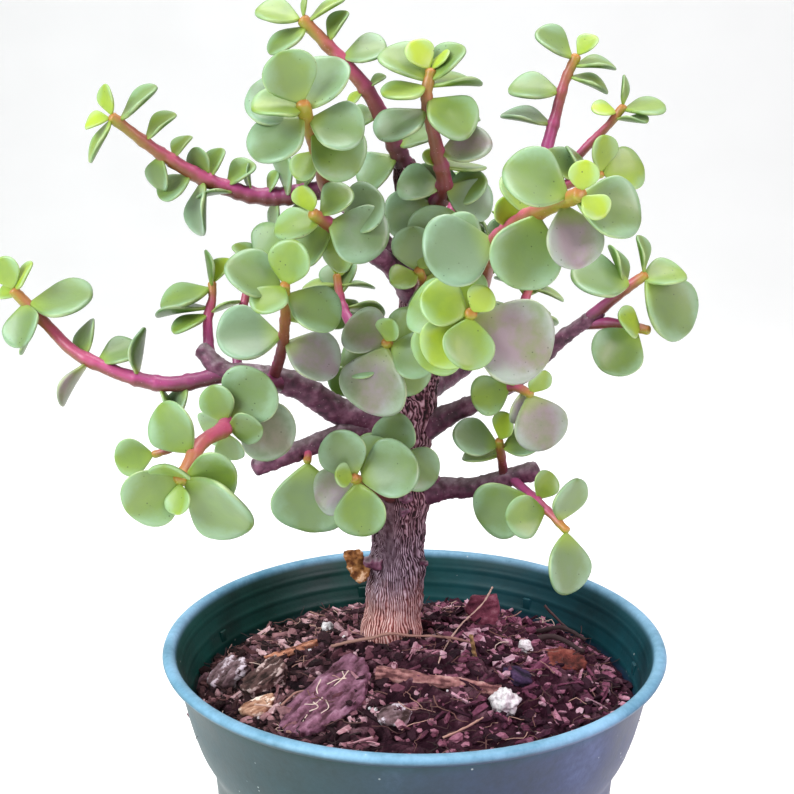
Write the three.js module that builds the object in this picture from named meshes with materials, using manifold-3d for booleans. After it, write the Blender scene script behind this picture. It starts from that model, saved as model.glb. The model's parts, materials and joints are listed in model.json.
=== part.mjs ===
// A dwarf elephant bush, Portulacaria afra, grown as a small tree in a round plastic nursery pot.
// Millimetres, +Z up. The origin is the centre of the pot's base, on the surface the pot stands on.
// The front of the plant is -Y and +X is to the right when it is seen from the front.
import * as THREE from "three";
import { mergeVertices } from "three/addons/utils/BufferGeometryUtils.js";
import Module from "manifold-3d";

const wasm = await Module();
wasm.setup();

// ---------------------------------------------------------------- driving dimensions

const GAP = 0.3; // air between two pieces that only touch
const POT_HEIGHT = 110;
const RIM_RADIUS = 76;
const LIP_WIDTH = 3.8;
const LIP_DEPTH = 3.4;
const BASE_RADIUS = 50;
const SHOULDER_RADIUS = 62;
const SHOULDER_HEIGHT = 74;
const WALL = 1.6;
const FLOOR = 1.8;
const POT_SIDES = 36;

const DRAIN_HOLES = 6;
const DRAIN_RADIUS = 3.5;
const DRAIN_CIRCLE = 40;
const LUGS = 7; // small ribs that stop stacked pots from jamming
const LUG = { width: 3, depth: 1.6, height: 4, bottom: 94.5 };

const SOIL_EDGE = 91; // height of the soil at the pot's wall
const SOIL_EDGE_RADIUS = 67;
const SOIL_CROWN = 107; // height of the mound at the trunk
const SOIL_CROWN_RADIUS = 15;

const LEAF_THICKNESS = 0.15; // of the leaf's length
const LEAF_HALF_WIDTH = 0.46; // of the leaf's length
const LEAF_EGG = 0.28; // how much broader the leaf is towards its tip
const LEAF_FOOT = 1; // depth of a leaf's foot in its stem
const LEAF_FACETS = 6;
const STEM_SIDES = 6;
const STEM_STEP = 8; // length of one stretch of a stem or limb
const SEEDLING_LEAF = 4; // the shortest leaf that is still made
const LIGHT = new THREE.Vector3(-0.2, -0.75, 0.6); // the way to the light
const TO_LIGHT = 0.4; // how far a leaf's face usually turns from the stem's tip to the light

// ---------------------------------------------------------------- the plant's skeleton

// Trunk and limbs: points along the centre line as [x, y, z, radius].
const TRUNK = [
  [-7, 5, 98, 10.5], [-7, 6, 108, 9.9], [-6, 8, 120, 8.9], [-5, 10, 135, 8.7], [-4, 11, 150, 8.8],
  [-3, 12, 170, 8.0], [0, 12, 186, 6.6], [1, 12, 204, 5.2], [-1, 12, 224, 4.5], [-3, 10, 252, 3.2],
];

const LIMBS = {
  left_limb: [
    [-8, 11, 173, 4.2], [-22, 6, 178, 4.0], [-35, 2, 187, 3.9], [-46, 0, 190, 3.7],
    [-56, -2, 192, 3.3], [-62, 0, 198, 2.4],
  ],
  right_limb: [
    [0, 12, 171, 3.2], [13, 8, 178, 2.7], [25, 4, 185, 2.4], [34, 2, 192, 2.3], [42, 0, 201, 2.1],
    [53, -4, 210, 1.8],
  ],
  upper_left_limb: [
    [-1, 12, 216, 3.4], [-12, 13, 230, 3.2], [-20, 17, 239, 3.0], [-28, 20, 243, 2.9],
  ],
  inner_left_limb: [[0, 12, 213, 3.2], [-3, 3, 219, 2.9], [-9, -6, 225, 2.7], [-20, -17, 233, 2.4]],
  right_top_limb: [
    [0, 12, 212, 3.4], [15, 13, 221, 3.1], [26, 15, 229, 2.9], [34, 20, 239, 2.7],
    [39, 25, 247, 2.4],
  ],
  lower_right_limb: [
    [-4, 11, 150, 3.6], [9, 10, 153, 3.2], [18, 8, 154, 2.9], [28, 5, 158, 2.7], [36, 2, 161, 2.8],
  ],
  pruned_limb: [[-6, 12, 170, 3.0], [-20, 4, 172, 2.9], [-33, -4, 169, 2.8], [-46, -9, 165, 2.7]],
  back_left_limb: [[-4, 12, 178, 3.4], [-12, 28, 187, 2.8], [-20, 42, 197, 2.3]],
  back_right_limb: [[-1, 12, 182, 3.4], [14, 30, 186, 2.8], [28, 44, 196, 2.3]],
  back_top_limb: [[0, 12, 210, 3.0], [5, 30, 220, 2.6], [10, 42, 230, 2.2]],
};

// A leaf is [distance back from the tip, clock, depth, length, turn to the light]. The clock is the
// way the leaf points as the plant is seen from the front, in degrees from 0 at the right through 90
// at the top, and the depth is how far it leans away to the back, or with a minus sign towards the
// front. The turn to the light is left out where it is the usual one.

// A plain tuft at the back: leaves round the stem, the young ones shorter and nearer the tip.
function tuft(turn) {
  return [
    [0, turn + 90, 0, 8],
    [1, turn + 60, 40, 8],
    [3, turn, 10, 12],
    [3, turn + 180, 10, 12],
    [7, 270 - turn, 40, 14],
    [7, 90 + turn, 35, 14],
    [11, turn - 10, 20, 14],
    [11, turn + 190, 20, 14],
  ];
}

// Shoots: the centre line from its foot to its tip, the radius at each end, and the leaves.
const SHOOTS = {
  far_left_shoot: {
    path: [[-55, -2, 191], [-73, -6, 189], [-97, -4, 197], [-107, 0, 205], [-116, 0, 215]],
    radii: [2.5, 1.4],
    leaves: [
      [0, 108, 0, 10, 2], [0, 55, -10, 10, 2], [2, 160, 30, 8], [4, 278, -35, 14, 3],
      [5, 5, 0, 19, 1], [10, 238, 10, 13, 1], [29, 92, 35, 12, 1], [30, 235, -10, 15, 0.1],
      [32, 16, 20, 14, 2], [45, 78, 0, 15, 0.1], [51, 298, 15, 13], [60, 245, -10, 14, 0.8],
    ],
  },
  left_upright_shoot: {
    path: [[-60, 0, 196], [-61, 5, 206], [-60, 8, 212], [-60, 9, 216]],
    radii: [1.7, 1.1],
    leaves: [
      [0, 60, 20, 9], [1, 203, -10, 16, 1], [2, 100, 10, 12, 0], [7, 186, 0, 16, 0.6],
      [9, 205, -30, 12, 1], [9, 10, 10, 11],
    ],
  },
  left_inner_shoot: {
    path: [[-52, -1, 191], [-52, 6, 204], [-50, 10, 213], [-47, 11, 221]],
    radii: [1.5, 1.1],
    leaves: [
      [0, 58, 10, 14, 1], [0, 130, 10, 9], [4, 150, 20, 12], [9, 350, 20, 11], [13, 175, 10, 12],
    ],
  },
  upper_left_shoot: {
    path: [[-27, 20, 243], [-46, 20, 241], [-62, 18, 246], [-75, 14, 254], [-87, 8, 264]],
    radii: [2.9, 1.5],
    leaves: [
      [0, 100, 0, 9], [0, 192, 0, 8], [0, 243, -10, 14, 0.1], [2, 40, 0, 15, 0], [11, 42, 0, 12],
      [17, 262, 10, 11, 2], [21, 60, 20, 9], [28, 218, -10, 12, 1], [31, 268, -15, 17],
      [33, 116, 0, 10, 1], [33, 68, 10, 10, 1], [38, 40, 0, 11, 1], [42, 182, -20, 12],
      [46, 92, 0, 9], [51, 70, -10, 8], [54, 262, 0, 12, 1], [57, 90, -40, 15, 2],
    ],
  },
  top_left_shoot: {
    path: [[-3, 10, 250], [-9, 4, 263], [-14, 0, 272], [-24, 0, 283], [-31, 0, 290]],
    radii: [2.6, 1.6],
    leaves: [
      [0, 168, 0, 13, 1], [0, 85, 0, 8], [1, 33, 0, 12], [2, 216, -15, 13, 2], [9, 58, 0, 10, 1],
      [14, 12, -10, 13, 2], [25, 30, 0, 6], [25, 220, 0, 6], [34, 190, 10, 10],
      [47, 214, -10, 14, 1],
    ],
  },
  front_top_left_shoot: {
    path: [[-18, 12, 238], [-24, -15, 246], [-25, -25, 254], [-27, -32, 261], [-28, -38, 267]],
    radii: [2.8, 1.6],
    leaves: [
      [1, 112, -15, 14], [2, 178, -30, 13, 0], [3, 58, 15, 16], [4, 222, -20, 17],
      [6, 150, 10, 17], [5, 342, -10, 15], [9, 322, -10, 16], [16, 235, 0, 9],
    ],
  },
  centre_top_shoot: {
    path: [[0, 11, 232], [8, 0, 244], [6, -6, 255], [3, -10, 269], [4, -10, 276]],
    radii: [2.8, 1.3],
    leaves: [
      [0, 122, 0, 9, 2], [0, 50, 10, 7], [3, 138, 10, 15, 1], [3, 46, 0, 13, 1],
      [4, 8, 20, 15, 0.1], [4, 195, -25, 13, 1.5], [7, 322, -25, 16, 1], [10, 212, -20, 16, 1],
      [11, 358, 30, 15], [23, 14, -10, 15, 1.5], [27, 0, 40, 14], [27, 140, 0, 6],
      [33, 330, -10, 15, 1], [34, 175, 0, 13],
    ],
  },
  top_right_shoot: {
    path: [[38, 24, 246], [40, 28, 256], [42, 30, 263], [45, 30, 275], [48, 30, 282]],
    radii: [2.2, 1.3],
    leaves: [
      [0, 48, 0, 8, 1], [1, 145, 0, 14, 1], [3, 4, 0, 13], [6, 342, 0, 13], [11, 178, 10, 16, 1.5],
      [21, 166, 10, 16, 0.8],
    ],
  },
  far_right_top_shoot: {
    path: [[36, 21, 241], [43, 22, 247], [52, 20, 257], [57, 20, 262], [61, 20, 267]],
    radii: [1.7, 1.1],
    leaves: [[0, 92, 0, 9], [1, 6, 0, 13], [2, 165, -10, 8, 1], [4, 352, -30, 10]],
  },
  right_small_shoot: {
    path: [[33, 19, 238], [42, 14, 244], [54, 12, 248]],
    radii: [1.7, 1.1],
    leaves: [
      [0, 12, 15, 14, 0], [0, 90, -10, 11, 1], [4, 120, 10, 11], [8, 130, 10, 12, 1],
      [10, 170, 0, 10],
    ],
  },
  right_front_shoot: {
    path: [[3, 8, 203], [14, -12, 208], [17, -30, 221], [19, -45, 232], [25, -60, 240], [36, -78, 247]],
    radii: [3.4, 1.6],
    leaves: [
      [0, 85, -20, 7, 2], [0, 320, -30, 7], [3, 158, 0, 16], [3, 345, 0, 16, 0.1],
      [6, 283, -10, 15], [15, 252, -15, 18], [20, 100, 40, 12], [29, 100, -20, 8],
      [36, 192, -20, 19],
    ],
  },
  lime_front_shoot: {
    path: [[2, 8, 198], [8, -16, 205], [11, -30, 210], [14, -48, 216]],
    radii: [2.2, 1.4],
    leaves: [
      [0, 60, -20, 8], [1, 158, -10, 13], [1, 265, -30, 14, 0], [3, 232, -20, 15],
      [5, 168, 20, 16], [5, 333, -5, 23],
    ],
  },
  right_outer_shoot: {
    path: [[50, -3, 208], [58, -7, 216], [64, -9, 221]],
    radii: [1.9, 1.2],
    leaves: [
      [0, 100, 0, 11, 0], [0, 308, 5, 21, 2], [2, 12, 0, 13, 0.2], [4, 172, -10, 18, 1],
      [6, 112, 20, 13, 0],
    ],
  },
  right_lower_shoot: {
    path: [[48, -1, 206], [57, -7, 207], [65, -12, 206]],
    radii: [1.8, 1.2],
    leaves: [
      [0, 318, -30, 10, 2], [2, 150, -40, 10, 2], [3, 228, -20, 16, 3], [12, 188, 15, 19, 1],
    ],
  },
  centre_left_shoot: {
    path: [[-42, 1, 189], [-40, -6, 193], [-37, -16, 201], [-35, -24, 211], [-34, -32, 221]],
    radii: [1.8, 1.2],
    leaves: [
      [0, 222, -45, 11], [1, 78, -10, 13], [3, 155, -5, 17], [3, 330, -5, 16], [14, 30, 20, 12],
      [20, 182, -10, 18], [22, 335, -10, 17],
    ],
  },
  inner_left_shoot: {
    path: [[-18, -16, 232], [-23, -21, 236], [-27, -25, 239]],
    radii: [2.3, 1.4],
    leaves: [
      [0, 110, -20, 8], [2, 57, 0, 17], [4, 190, -10, 13, 0.1], [5, 340, -15, 17],
      [8, 225, 10, 13], [9, 275, 10, 12],
    ],
  },
  lower_left_shoot: {
    path: [[-40, 0, 188], [-46, -16, 190], [-50, -38, 184], [-54, -50, 183], [-58, -60, 176]],
    radii: [2.8, 1.6],
    leaves: [
      [0, 270, -30, 8], [1, 110, -55, 11], [2, 213, -15, 16], [2, 3, -15, 14], [1, 326, -10, 21],
      [8, 125, 5, 15, 1], [24, 290, 10, 9], [26, 5, -20, 10, 0], [27, 110, 0, 11],
      [27, 200, 40, 10], [28, 52, -5, 17, 1], [38, 322, -10, 18, 1],
    ],
  },
  lower_left_side_shoot: {
    path: [[-54, -48, 183], [-60, -50, 182], [-66, -50, 180]],
    radii: [1.2, 0.9],
    leaves: [[0, 186, -10, 10]],
  },
  bottom_centre_shoot: {
    path: [[-6, 6, 151], [-12, -6, 158], [-17, -20, 165]],
    radii: [2.2, 1.3],
    leaves: [
      [0, 150, -40, 7], [2, 117, -5, 15], [2, 280, -15, 16], [3, 22, -10, 18], [4, 208, 10, 14],
      [7, 55, 20, 14],
    ],
  },
  trunk_front_shoot: {
    path: [[-5, 3, 165], [-6, -4, 167]],
    radii: [1.2, 1.0],
    leaves: [[0, 88, -20, 14, 1], [1, 335, -5, 14]],
  },
  hanging_right_shoot: {
    path: [[29, 5, 158], [33, -6, 157], [37, -14, 155], [43, -20, 150]],
    radii: [1.5, 1.1],
    leaves: [
      [0, 270, -20, 18], [3, 72, -10, 14], [8, 185, -25, 13, 1], [16, 207, 10, 18, 0.8],
      [13, 60, 20, 9],
    ],
  },
  lower_right_shoot: {
    path: [[27, 5, 158], [26, 2, 165], [25, -1, 171]],
    radii: [1.5, 1.1],
    leaves: [[0, 75, -10, 9], [2, 155, 10, 16, 1], [3, 18, -10, 13], [6, 175, 30, 12]],
  },
  right_centre_shoot: {
    path: [[24, 4, 184], [29, -4, 188], [33, -9, 187]],
    radii: [1.6, 1.1],
    leaves: [
      [0, 60, -20, 8], [1, 292, -10, 17, 1], [3, 262, 0, 10, 0], [5, 120, 10, 13], [8, 80, 10, 13],
      [8, 200, 0, 12],
    ],
  },
  centre_low_shoot: {
    path: [[-1, 9, 196], [-5, -8, 199], [-8, -16, 203]],
    radii: [1.8, 1.2],
    leaves: [
      [0, 80, -30, 8], [1, 252, -10, 20], [2, 345, -15, 15], [4, 150, 10, 14], [6, 60, 0, 13],
    ],
  },
  centre_high_shoot: {
    path: [[-1, 9, 214], [2, -2, 218], [1, -8, 222]],
    radii: [1.8, 1.2],
    leaves: [[0, 62, -5, 19], [1, 200, -30, 9], [3, 165, 15, 15], [4, 340, 0, 13]],
  },
  hanging_left_shoot: {
    path: [[-32, -2, 169], [-31, -7, 168], [-31, -9, 167]],
    radii: [1.3, 1.1],
    leaves: [[0, 270, 5, 22]],
  },
  back_left_shoot: {
    path: [[-19, 41, 196], [-24, 49, 204], [-26, 53, 213]],
    radii: [2.0, 1.2],
    leaves: tuft(0),
  },
  back_left_low_shoot: {
    path: [[-11, 27, 186], [-15, 40, 183], [-15, 52, 186]],
    radii: [1.6, 1.1],
    leaves: tuft(20),
  },
  back_right_shoot: {
    path: [[27, 43, 195], [35, 50, 203], [39, 54, 212]],
    radii: [2.0, 1.2],
    leaves: tuft(-15),
  },
  back_right_low_shoot: {
    path: [[13, 29, 185], [13, 44, 186], [14, 56, 192]],
    radii: [1.6, 1.1],
    leaves: tuft(10),
  },
  back_top_shoot: {
    path: [[9, 41, 229], [12, 47, 237], [13, 49, 244]],
    radii: [1.9, 1.2],
    leaves: tuft(-25),
  },
  back_side_shoot: {
    path: [[6, 31, 221], [20, 38, 223], [30, 42, 229]],
    radii: [1.7, 1.1],
    leaves: tuft(35),
  },
};

// ---------------------------------------------------------------- what lies on the soil

// Flat chips: the place [x, y] and the centre's lift above the soil, the outline's length and width,
// the thickness, and the turns about X, Y and Z in degrees.
const CHIPS = {
  bark_slab: { at: [-24, -27], lift: 1.2, size: [36, 20, 3.2], turn: [14, -12, 48] },
  bark_chip_left: { at: [-57, -1], lift: 1.6, size: [14, 11, 4], turn: [6, -16, 70] },
  bark_chip_pair: { at: [-44, -11], lift: 1.8, size: [16, 9, 4.5], turn: [8, -16, 50] },
  bark_chip_pale: { at: [-45, -24], lift: 1.2, size: [12, 8, 2], turn: [8, -12, 20] },
  bark_chip_red: { at: [46, 1], lift: 1.2, size: [11, 8, 2.2], turn: [4, 16, 25] },
  bark_chip_upright: { at: [22, 30], lift: 3, size: [10, 7, 2.2], turn: [66, 8, 15] },
  bark_chip_dark: { at: [31, -15], lift: 1.1, size: [8, 6, 2.4], turn: [8, 14, -30] },
  bark_chip_front: { at: [-5, -37], lift: 1.2, size: [11, 8, 2.4], turn: [16, 2, 20] },
};

// Sticks: the places [x, y] of the two ends, their lifts above the soil, and the radius.
const STICKS = {
  long_stick: { ends: [[-11, -21], [25, -25]], lifts: [1.2, 1.2], radius: 2 },
  orange_stick: { ends: [[-46, 2], [-30, 5]], lifts: [0.9, 0.9], radius: 1.4 },
  leaning_twig: { ends: [[19, -12], [17, -10]], lifts: [-2, 8], radius: 0.7 },
};

// White perlite grains: the place [x, y], the centre's lift above the soil and the radius.
const GRAINS = {
  perlite_front: { at: [26, -29], lift: 1.8, radius: 4 },
  perlite_right: { at: [35, 7], lift: 1.2, radius: 2.6 },
  perlite_left: { at: [-28, 22], lift: 0.9, radius: 2 },
};

// A flake of loose bark that curls off the trunk, on its left side.
const BARK_FLAKE = { at: [-18, 4], size: [9, 6.5, 1.4], turn: [70, -30, 10], height: 131 };

// ---------------------------------------------------------------- from geometry to solids

const vector = (p) => new THREE.Vector3(p[0], p[1], p[2]);
const radians = THREE.MathUtils.degToRad;

// A closed geometry as a solid that can be joined and cut.
function solidOf(geometry) {
  const bare = geometry.clone();
  for (const name of Object.keys(bare.attributes)) {
    if (name !== "position") bare.deleteAttribute(name);
  }
  const merged = mergeVertices(bare, 1e-4);
  const mesh = new wasm.Mesh({
    numProp: 3,
    vertProperties: new Float32Array(merged.attributes.position.array),
    triVerts: new Uint32Array(merged.index.array),
  });
  return new wasm.Manifold(mesh);
}

// A solid as a geometry that a mesh can hold.
function geometryOf(solid) {
  const { vertProperties, triVerts } = solid.getMesh();
  const geometry = new THREE.BufferGeometry();
  geometry.setAttribute("position", new THREE.BufferAttribute(vertProperties, 3));
  geometry.setIndex(new THREE.BufferAttribute(triVerts, 1));
  const flat = geometry.toNonIndexed();
  flat.computeVertexNormals();
  return flat;
}

// The largest body of a solid: a cut can leave a crumb beyond its neighbour.
function largestBody(solid) {
  const bodies = solid.decompose();
  return bodies.reduce((best, body) => (body.volume() > best.volume() ? body : best));
}

const boxesMeet = (a, b) => [0, 1, 2].every((i) => a.min[i] <= b.max[i] && b.min[i] <= a.max[i]);

// Whether a solid runs into any of the others.
function meetsAny(solid, others) {
  const box = solid.boundingBox();
  return others.some((other) => boxesMeet(box, other.box) && solid.intersect(other.solid).volume() > 1e-6);
}

const boxed = (solid) => ({ solid, box: solid.boundingBox() });

// ---------------------------------------------------------------- the pot and its soil

// The pot turns about its axis from a profile that runs up the outside, over the rounded lip
// and down the inside. The wall leans out, steps in below a rounded shoulder and ends in a flat floor.
function potOutside() {
  const underLip = RIM_RADIUS - 2.6;
  const lipBottom = POT_HEIGHT - LIP_DEPTH;
  return [
    [0, 0],
    [BASE_RADIUS - 0.8, 0],
    [BASE_RADIUS, 0.8],
    [SHOULDER_RADIUS - 1, SHOULDER_HEIGHT - 12],
    [SHOULDER_RADIUS, SHOULDER_HEIGHT],
    [SHOULDER_RADIUS + 3.8, SHOULDER_HEIGHT + 6],
    [SHOULDER_RADIUS + 6.4, SHOULDER_HEIGHT + 14],
    [SHOULDER_RADIUS + 8.6, SHOULDER_HEIGHT + 24],
    [underLip, lipBottom],
    [RIM_RADIUS - 0.8, lipBottom + 0.2],
    [RIM_RADIUS, lipBottom + 1.6],
    [RIM_RADIUS - 0.7, POT_HEIGHT - 0.4],
    [RIM_RADIUS - LIP_WIDTH / 2, POT_HEIGHT],
    [RIM_RADIUS - LIP_WIDTH + 0.4, POT_HEIGHT - 0.4],
  ];
}

const potInside = () => [
  [RIM_RADIUS - LIP_WIDTH, POT_HEIGHT - LIP_DEPTH],
  [SHOULDER_RADIUS + 8.6 - WALL, SHOULDER_HEIGHT + 24],
  [SHOULDER_RADIUS + 6.4 - WALL, SHOULDER_HEIGHT + 14],
  [SHOULDER_RADIUS + 3.8 - WALL, SHOULDER_HEIGHT + 6],
  [SHOULDER_RADIUS - WALL, SHOULDER_HEIGHT],
  [SHOULDER_RADIUS - 1 - WALL, SHOULDER_HEIGHT - 12],
  [BASE_RADIUS - WALL, FLOOR],
  [0, FLOOR],
];

function lathe(profile, sides) {
  const points = profile.map(([r, z]) => new THREE.Vector2(r, z));
  return new THREE.LatheGeometry(points, sides).rotateX(Math.PI / 2);
}

function makePot() {
  let pot = solidOf(lathe([...potOutside(), ...potInside()], POT_SIDES));
  for (let i = 0; i < DRAIN_HOLES; i += 1) {
    const hole = new THREE.CylinderGeometry(DRAIN_RADIUS, DRAIN_RADIUS, FLOOR * 4, 10);
    hole.rotateX(Math.PI / 2);
    hole.translate(DRAIN_CIRCLE, 0, 0);
    hole.rotateZ((i / DRAIN_HOLES) * 2 * Math.PI);
    pot = pot.subtract(solidOf(hole));
  }
  const lugRadius = SHOULDER_RADIUS + 8.6 - WALL;
  for (let i = 0; i < LUGS; i += 1) {
    const lug = new THREE.BoxGeometry(LUG.depth, LUG.width, LUG.height);
    lug.translate(lugRadius, 0, LUG.bottom + LUG.height / 2);
    lug.rotateZ(radians(3) + (i / LUGS) * 2 * Math.PI);
    pot = pot.add(solidOf(lug));
  }
  return pot;
}

// The height of the soil at a place: level around the trunk, then falling evenly to the pot's wall.
function soilHeight([x, y]) {
  const out = THREE.MathUtils.clamp(Math.hypot(x, y), SOIL_CROWN_RADIUS, SOIL_EDGE_RADIUS);
  return THREE.MathUtils.mapLinear(out, SOIL_CROWN_RADIUS, SOIL_EDGE_RADIUS, SOIL_CROWN, SOIL_EDGE);
}

const overSoil = (at, lift) => [...at, soilHeight(at) + lift];

// The soil fills the pot's inside, a gap away from it, and mounds up gently to the trunk.
function makeSoil() {
  const wallAt = (z) => {
    const inside = potInside().reverse();
    const upper = inside.findIndex((point, i) => i > 1 && point[1] >= z);
    const [r0, z0] = inside[upper - 1];
    const [r1, z1] = inside[upper];
    return r0 + ((z - z0) / (z1 - z0)) * (r1 - r0) - GAP;
  };
  const shoulder = [-12, 0, 6, 14].map((step) => SHOULDER_HEIGHT + step);
  const levels = [FLOOR + GAP, ...shoulder];
  return solidOf(lathe([
    [0, FLOOR + GAP],
    ...levels.map((z) => [wallAt(z) - (z < SHOULDER_HEIGHT ? GAP : 0), z]),
    [SOIL_EDGE_RADIUS, SOIL_EDGE],
    [SOIL_CROWN_RADIUS, SOIL_CROWN],
    [0, SOIL_CROWN],
  ], POT_SIDES));
}

// ---------------------------------------------------------------- wood, stems and leaves

// A limb: rings of points across a smooth curve, with a flat end at each end.
function limb(points, radii, grow = 0) {
  const curve = new THREE.CatmullRomCurve3(points.map(vector), false, "centripetal");
  const steps = Math.max(2, Math.round(curve.getLength() / STEM_STEP));
  const frames = curve.computeFrenetFrames(steps, false);
  const position = [];
  const index = [];
  for (let i = 0; i <= steps; i += 1) {
    const share = i / steps;
    const centre = curve.getPointAt(share);
    const along = share * (radii.length - 1);
    const low = Math.min(Math.floor(along), radii.length - 2);
    const radius = radii[low] + (along - low) * (radii[low + 1] - radii[low]) + grow;
    for (let j = 0; j < STEM_SIDES; j += 1) {
      const angle = (j / STEM_SIDES) * 2 * Math.PI;
      const out = frames.normals[i].clone().multiplyScalar(Math.cos(angle));
      out.addScaledVector(frames.binormals[i], Math.sin(angle));
      position.push(...centre.clone().addScaledVector(out, radius).toArray());
    }
  }
  const ring = (i, j) => i * STEM_SIDES + (j % STEM_SIDES);
  for (let i = 0; i < steps; i += 1) {
    for (let j = 0; j < STEM_SIDES; j += 1) {
      index.push(ring(i, j), ring(i, j + 1), ring(i + 1, j + 1));
      index.push(ring(i, j), ring(i + 1, j + 1), ring(i + 1, j));
    }
  }
  for (let j = 1; j < STEM_SIDES - 1; j += 1) {
    index.push(ring(0, 0), ring(0, j + 1), ring(0, j));
    index.push(ring(steps, 0), ring(steps, j), ring(steps, j + 1));
  }
  const geometry = new THREE.BufferGeometry();
  geometry.setAttribute("position", new THREE.Float32BufferAttribute(position, 3));
  geometry.setIndex(index);
  return geometry;
}

// A plump egg-shaped leaf, flat across Y, that runs along +Z from its narrow foot inside the stem.
function leaf(length, grow = 0) {
  const geometry = new THREE.SphereGeometry(1, LEAF_FACETS, 2, Math.PI / LEAF_FACETS);
  const place = geometry.attributes.position;
  const half = (length + LEAF_FOOT) / 2;
  for (let i = 0; i < place.count; i += 1) {
    const along = place.getZ(i);
    const across = place.getX(i) * (1 + LEAF_EGG * along) * (length * LEAF_HALF_WIDTH + grow);
    const through = place.getY(i) * ((length * LEAF_THICKNESS) / 2 + grow);
    place.setXYZ(i, across, through, half - LEAF_FOOT + along * (half + grow));
  }
  return geometry;
}

// The way that a clock and a depth point.
function aim(clock, depth) {
  const flat = Math.cos(radians(depth));
  const [across, up] = [Math.cos(radians(clock)), Math.sin(radians(clock))];
  return new THREE.Vector3(flat * across, Math.sin(radians(depth)), flat * up);
}

// One leaf set at its place on a shoot: its upper face looks to the stem's tip and a little to the light.
function placedLeaf(curve, [back, clock, depth, length, toLight = TO_LIGHT], grow) {
  const share = 1 - Math.min(0.98, back / curve.getLength());
  const along = aim(clock, depth);
  const face = curve.getTangentAt(share).addScaledVector(LIGHT, toLight).projectOnPlane(along).normalize();
  const width = face.clone().cross(along);
  const placement = new THREE.Matrix4().makeBasis(width, face, along).setPosition(curve.getPointAt(share));
  return solidOf(leaf(length, grow).applyMatrix4(placement));
}

// A leaf that would run into its neighbours first leans another way, then stays smaller, and at last
// is not grown. Each try is a share of its length and the degrees added to its clock and its depth.
const LEAF_TRIES = [
  [1, 0, 0], [1, 0, -12], [1, 0, 12], [0.9, 12, -12], [0.9, -12, 12],
  [0.8, 0, -25], [0.8, 0, 25], [0.65, 15, 0], [0.65, -15, 0], [0.5, 0, 0],
];

function growLeaf(curve, [back, clock, depth, length, toLight], others) {
  for (const [scale, turn, lean] of LEAF_TRIES) {
    const tried = [back, clock + turn, depth + lean, length * scale, toLight];
    if (tried[3] < SEEDLING_LEAF) return null;
    if (!meetsAny(placedLeaf(curve, tried, GAP), others)) return placedLeaf(curve, tried, 0);
  }
  return null;
}

// ---------------------------------------------------------------- chips, sticks and grains

// A broken chip: a low many-sided plate with uneven corners, made larger by grow all round.
function chip({ at, lift, size, turn, height }, grow = 0) {
  const corners = 9;
  const outline = new THREE.Shape();
  for (let i = 0; i < corners; i += 1) {
    const angle = (i / corners) * 2 * Math.PI;
    const uneven = 1 + 0.12 * Math.sin(2.3 * i + size[0]) - 0.06 * Math.cos(3.1 * i);
    const x = Math.cos(angle) * (size[0] / 2) * uneven + Math.sign(Math.cos(angle)) * grow;
    const y = Math.sin(angle) * (size[1] / 2) * uneven + Math.sign(Math.sin(angle)) * grow;
    if (i === 0) outline.moveTo(x, y);
    else outline.lineTo(x, y);
  }
  outline.closePath();
  const depth = size[2] + 2 * grow;
  const geometry = new THREE.ExtrudeGeometry(outline, { depth, steps: 1, bevelEnabled: false });
  geometry.translate(0, 0, -depth / 2);
  const placement = new THREE.Matrix4().makeRotationFromEuler(new THREE.Euler(...turn.map(radians)));
  const centre = height ? [...at, height] : overSoil(at, lift);
  return geometry.applyMatrix4(placement.setPosition(vector(centre)));
}

function stick({ ends, lifts, radius }, grow = 0) {
  return limb(ends.map((end, i) => overSoil(end, lifts[i])), [radius, radius * 0.8], grow);
}

function grain({ at, lift, radius }, grow = 0) {
  return new THREE.IcosahedronGeometry(radius + grow, 0).translate(...overSoil(at, lift));
}

// ---------------------------------------------------------------- the whole object

const MATERIALS = {
  pot: { color: 0x2b4b45, roughness: 0.42, metalness: 0 },
  soil: { color: 0x3d2a2c, roughness: 0.95, metalness: 0 },
  bark: { color: 0x8d7b78, roughness: 0.85, metalness: 0 },
  limb: { color: 0x6d4552, roughness: 0.6, metalness: 0 },
  leaf: { color: 0x8fb56f, roughness: 0.35, metalness: 0 },
  chip: { color: 0x5e4046, roughness: 0.9, metalness: 0 },
  stick: { color: 0xa9795f, roughness: 0.85, metalness: 0 },
  perlite: { color: 0xe9e0e6, roughness: 0.9, metalness: 0 },
};

const plantInPot = new THREE.Group();

function addPiece(name, solid, finish) {
  const mesh = new THREE.Mesh(geometryOf(solid), new THREE.MeshStandardMaterial(MATERIALS[finish]));
  mesh.name = name;
  plantInPot.add(mesh);
}

const linePoints = (rows) => rows.map((row) => row.slice(0, 3));
const lineRadii = (rows) => rows.map((row) => row[3]);
const limbSolid = (rows, grow) => solidOf(limb(linePoints(rows), lineRadii(rows), grow));

addPiece("pot", makePot(), "pot");

// The wood: each limb is cut to butt against what already stands.
const wood = { trunk: limbSolid(TRUNK, 0) };
const woodWithAir = [boxed(limbSolid(TRUNK, GAP))];
for (const [name, rows] of Object.entries(LIMBS)) {
  wood[name] = woodWithAir.reduce((rest, other) => rest.subtract(other.solid), limbSolid(rows, 0));
  wood[name] = largestBody(wood[name]);
  woodWithAir.push(boxed(limbSolid(rows, GAP)));
}

// The soil, with the trunk's foot and everything that lies in it cut out a gap wide.
function litterOf(table, shape, finish) {
  return Object.entries(table).map(([name, one]) => {
    return [name, solidOf(shape(one)), solidOf(shape(one, GAP)), finish];
  });
}

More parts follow.
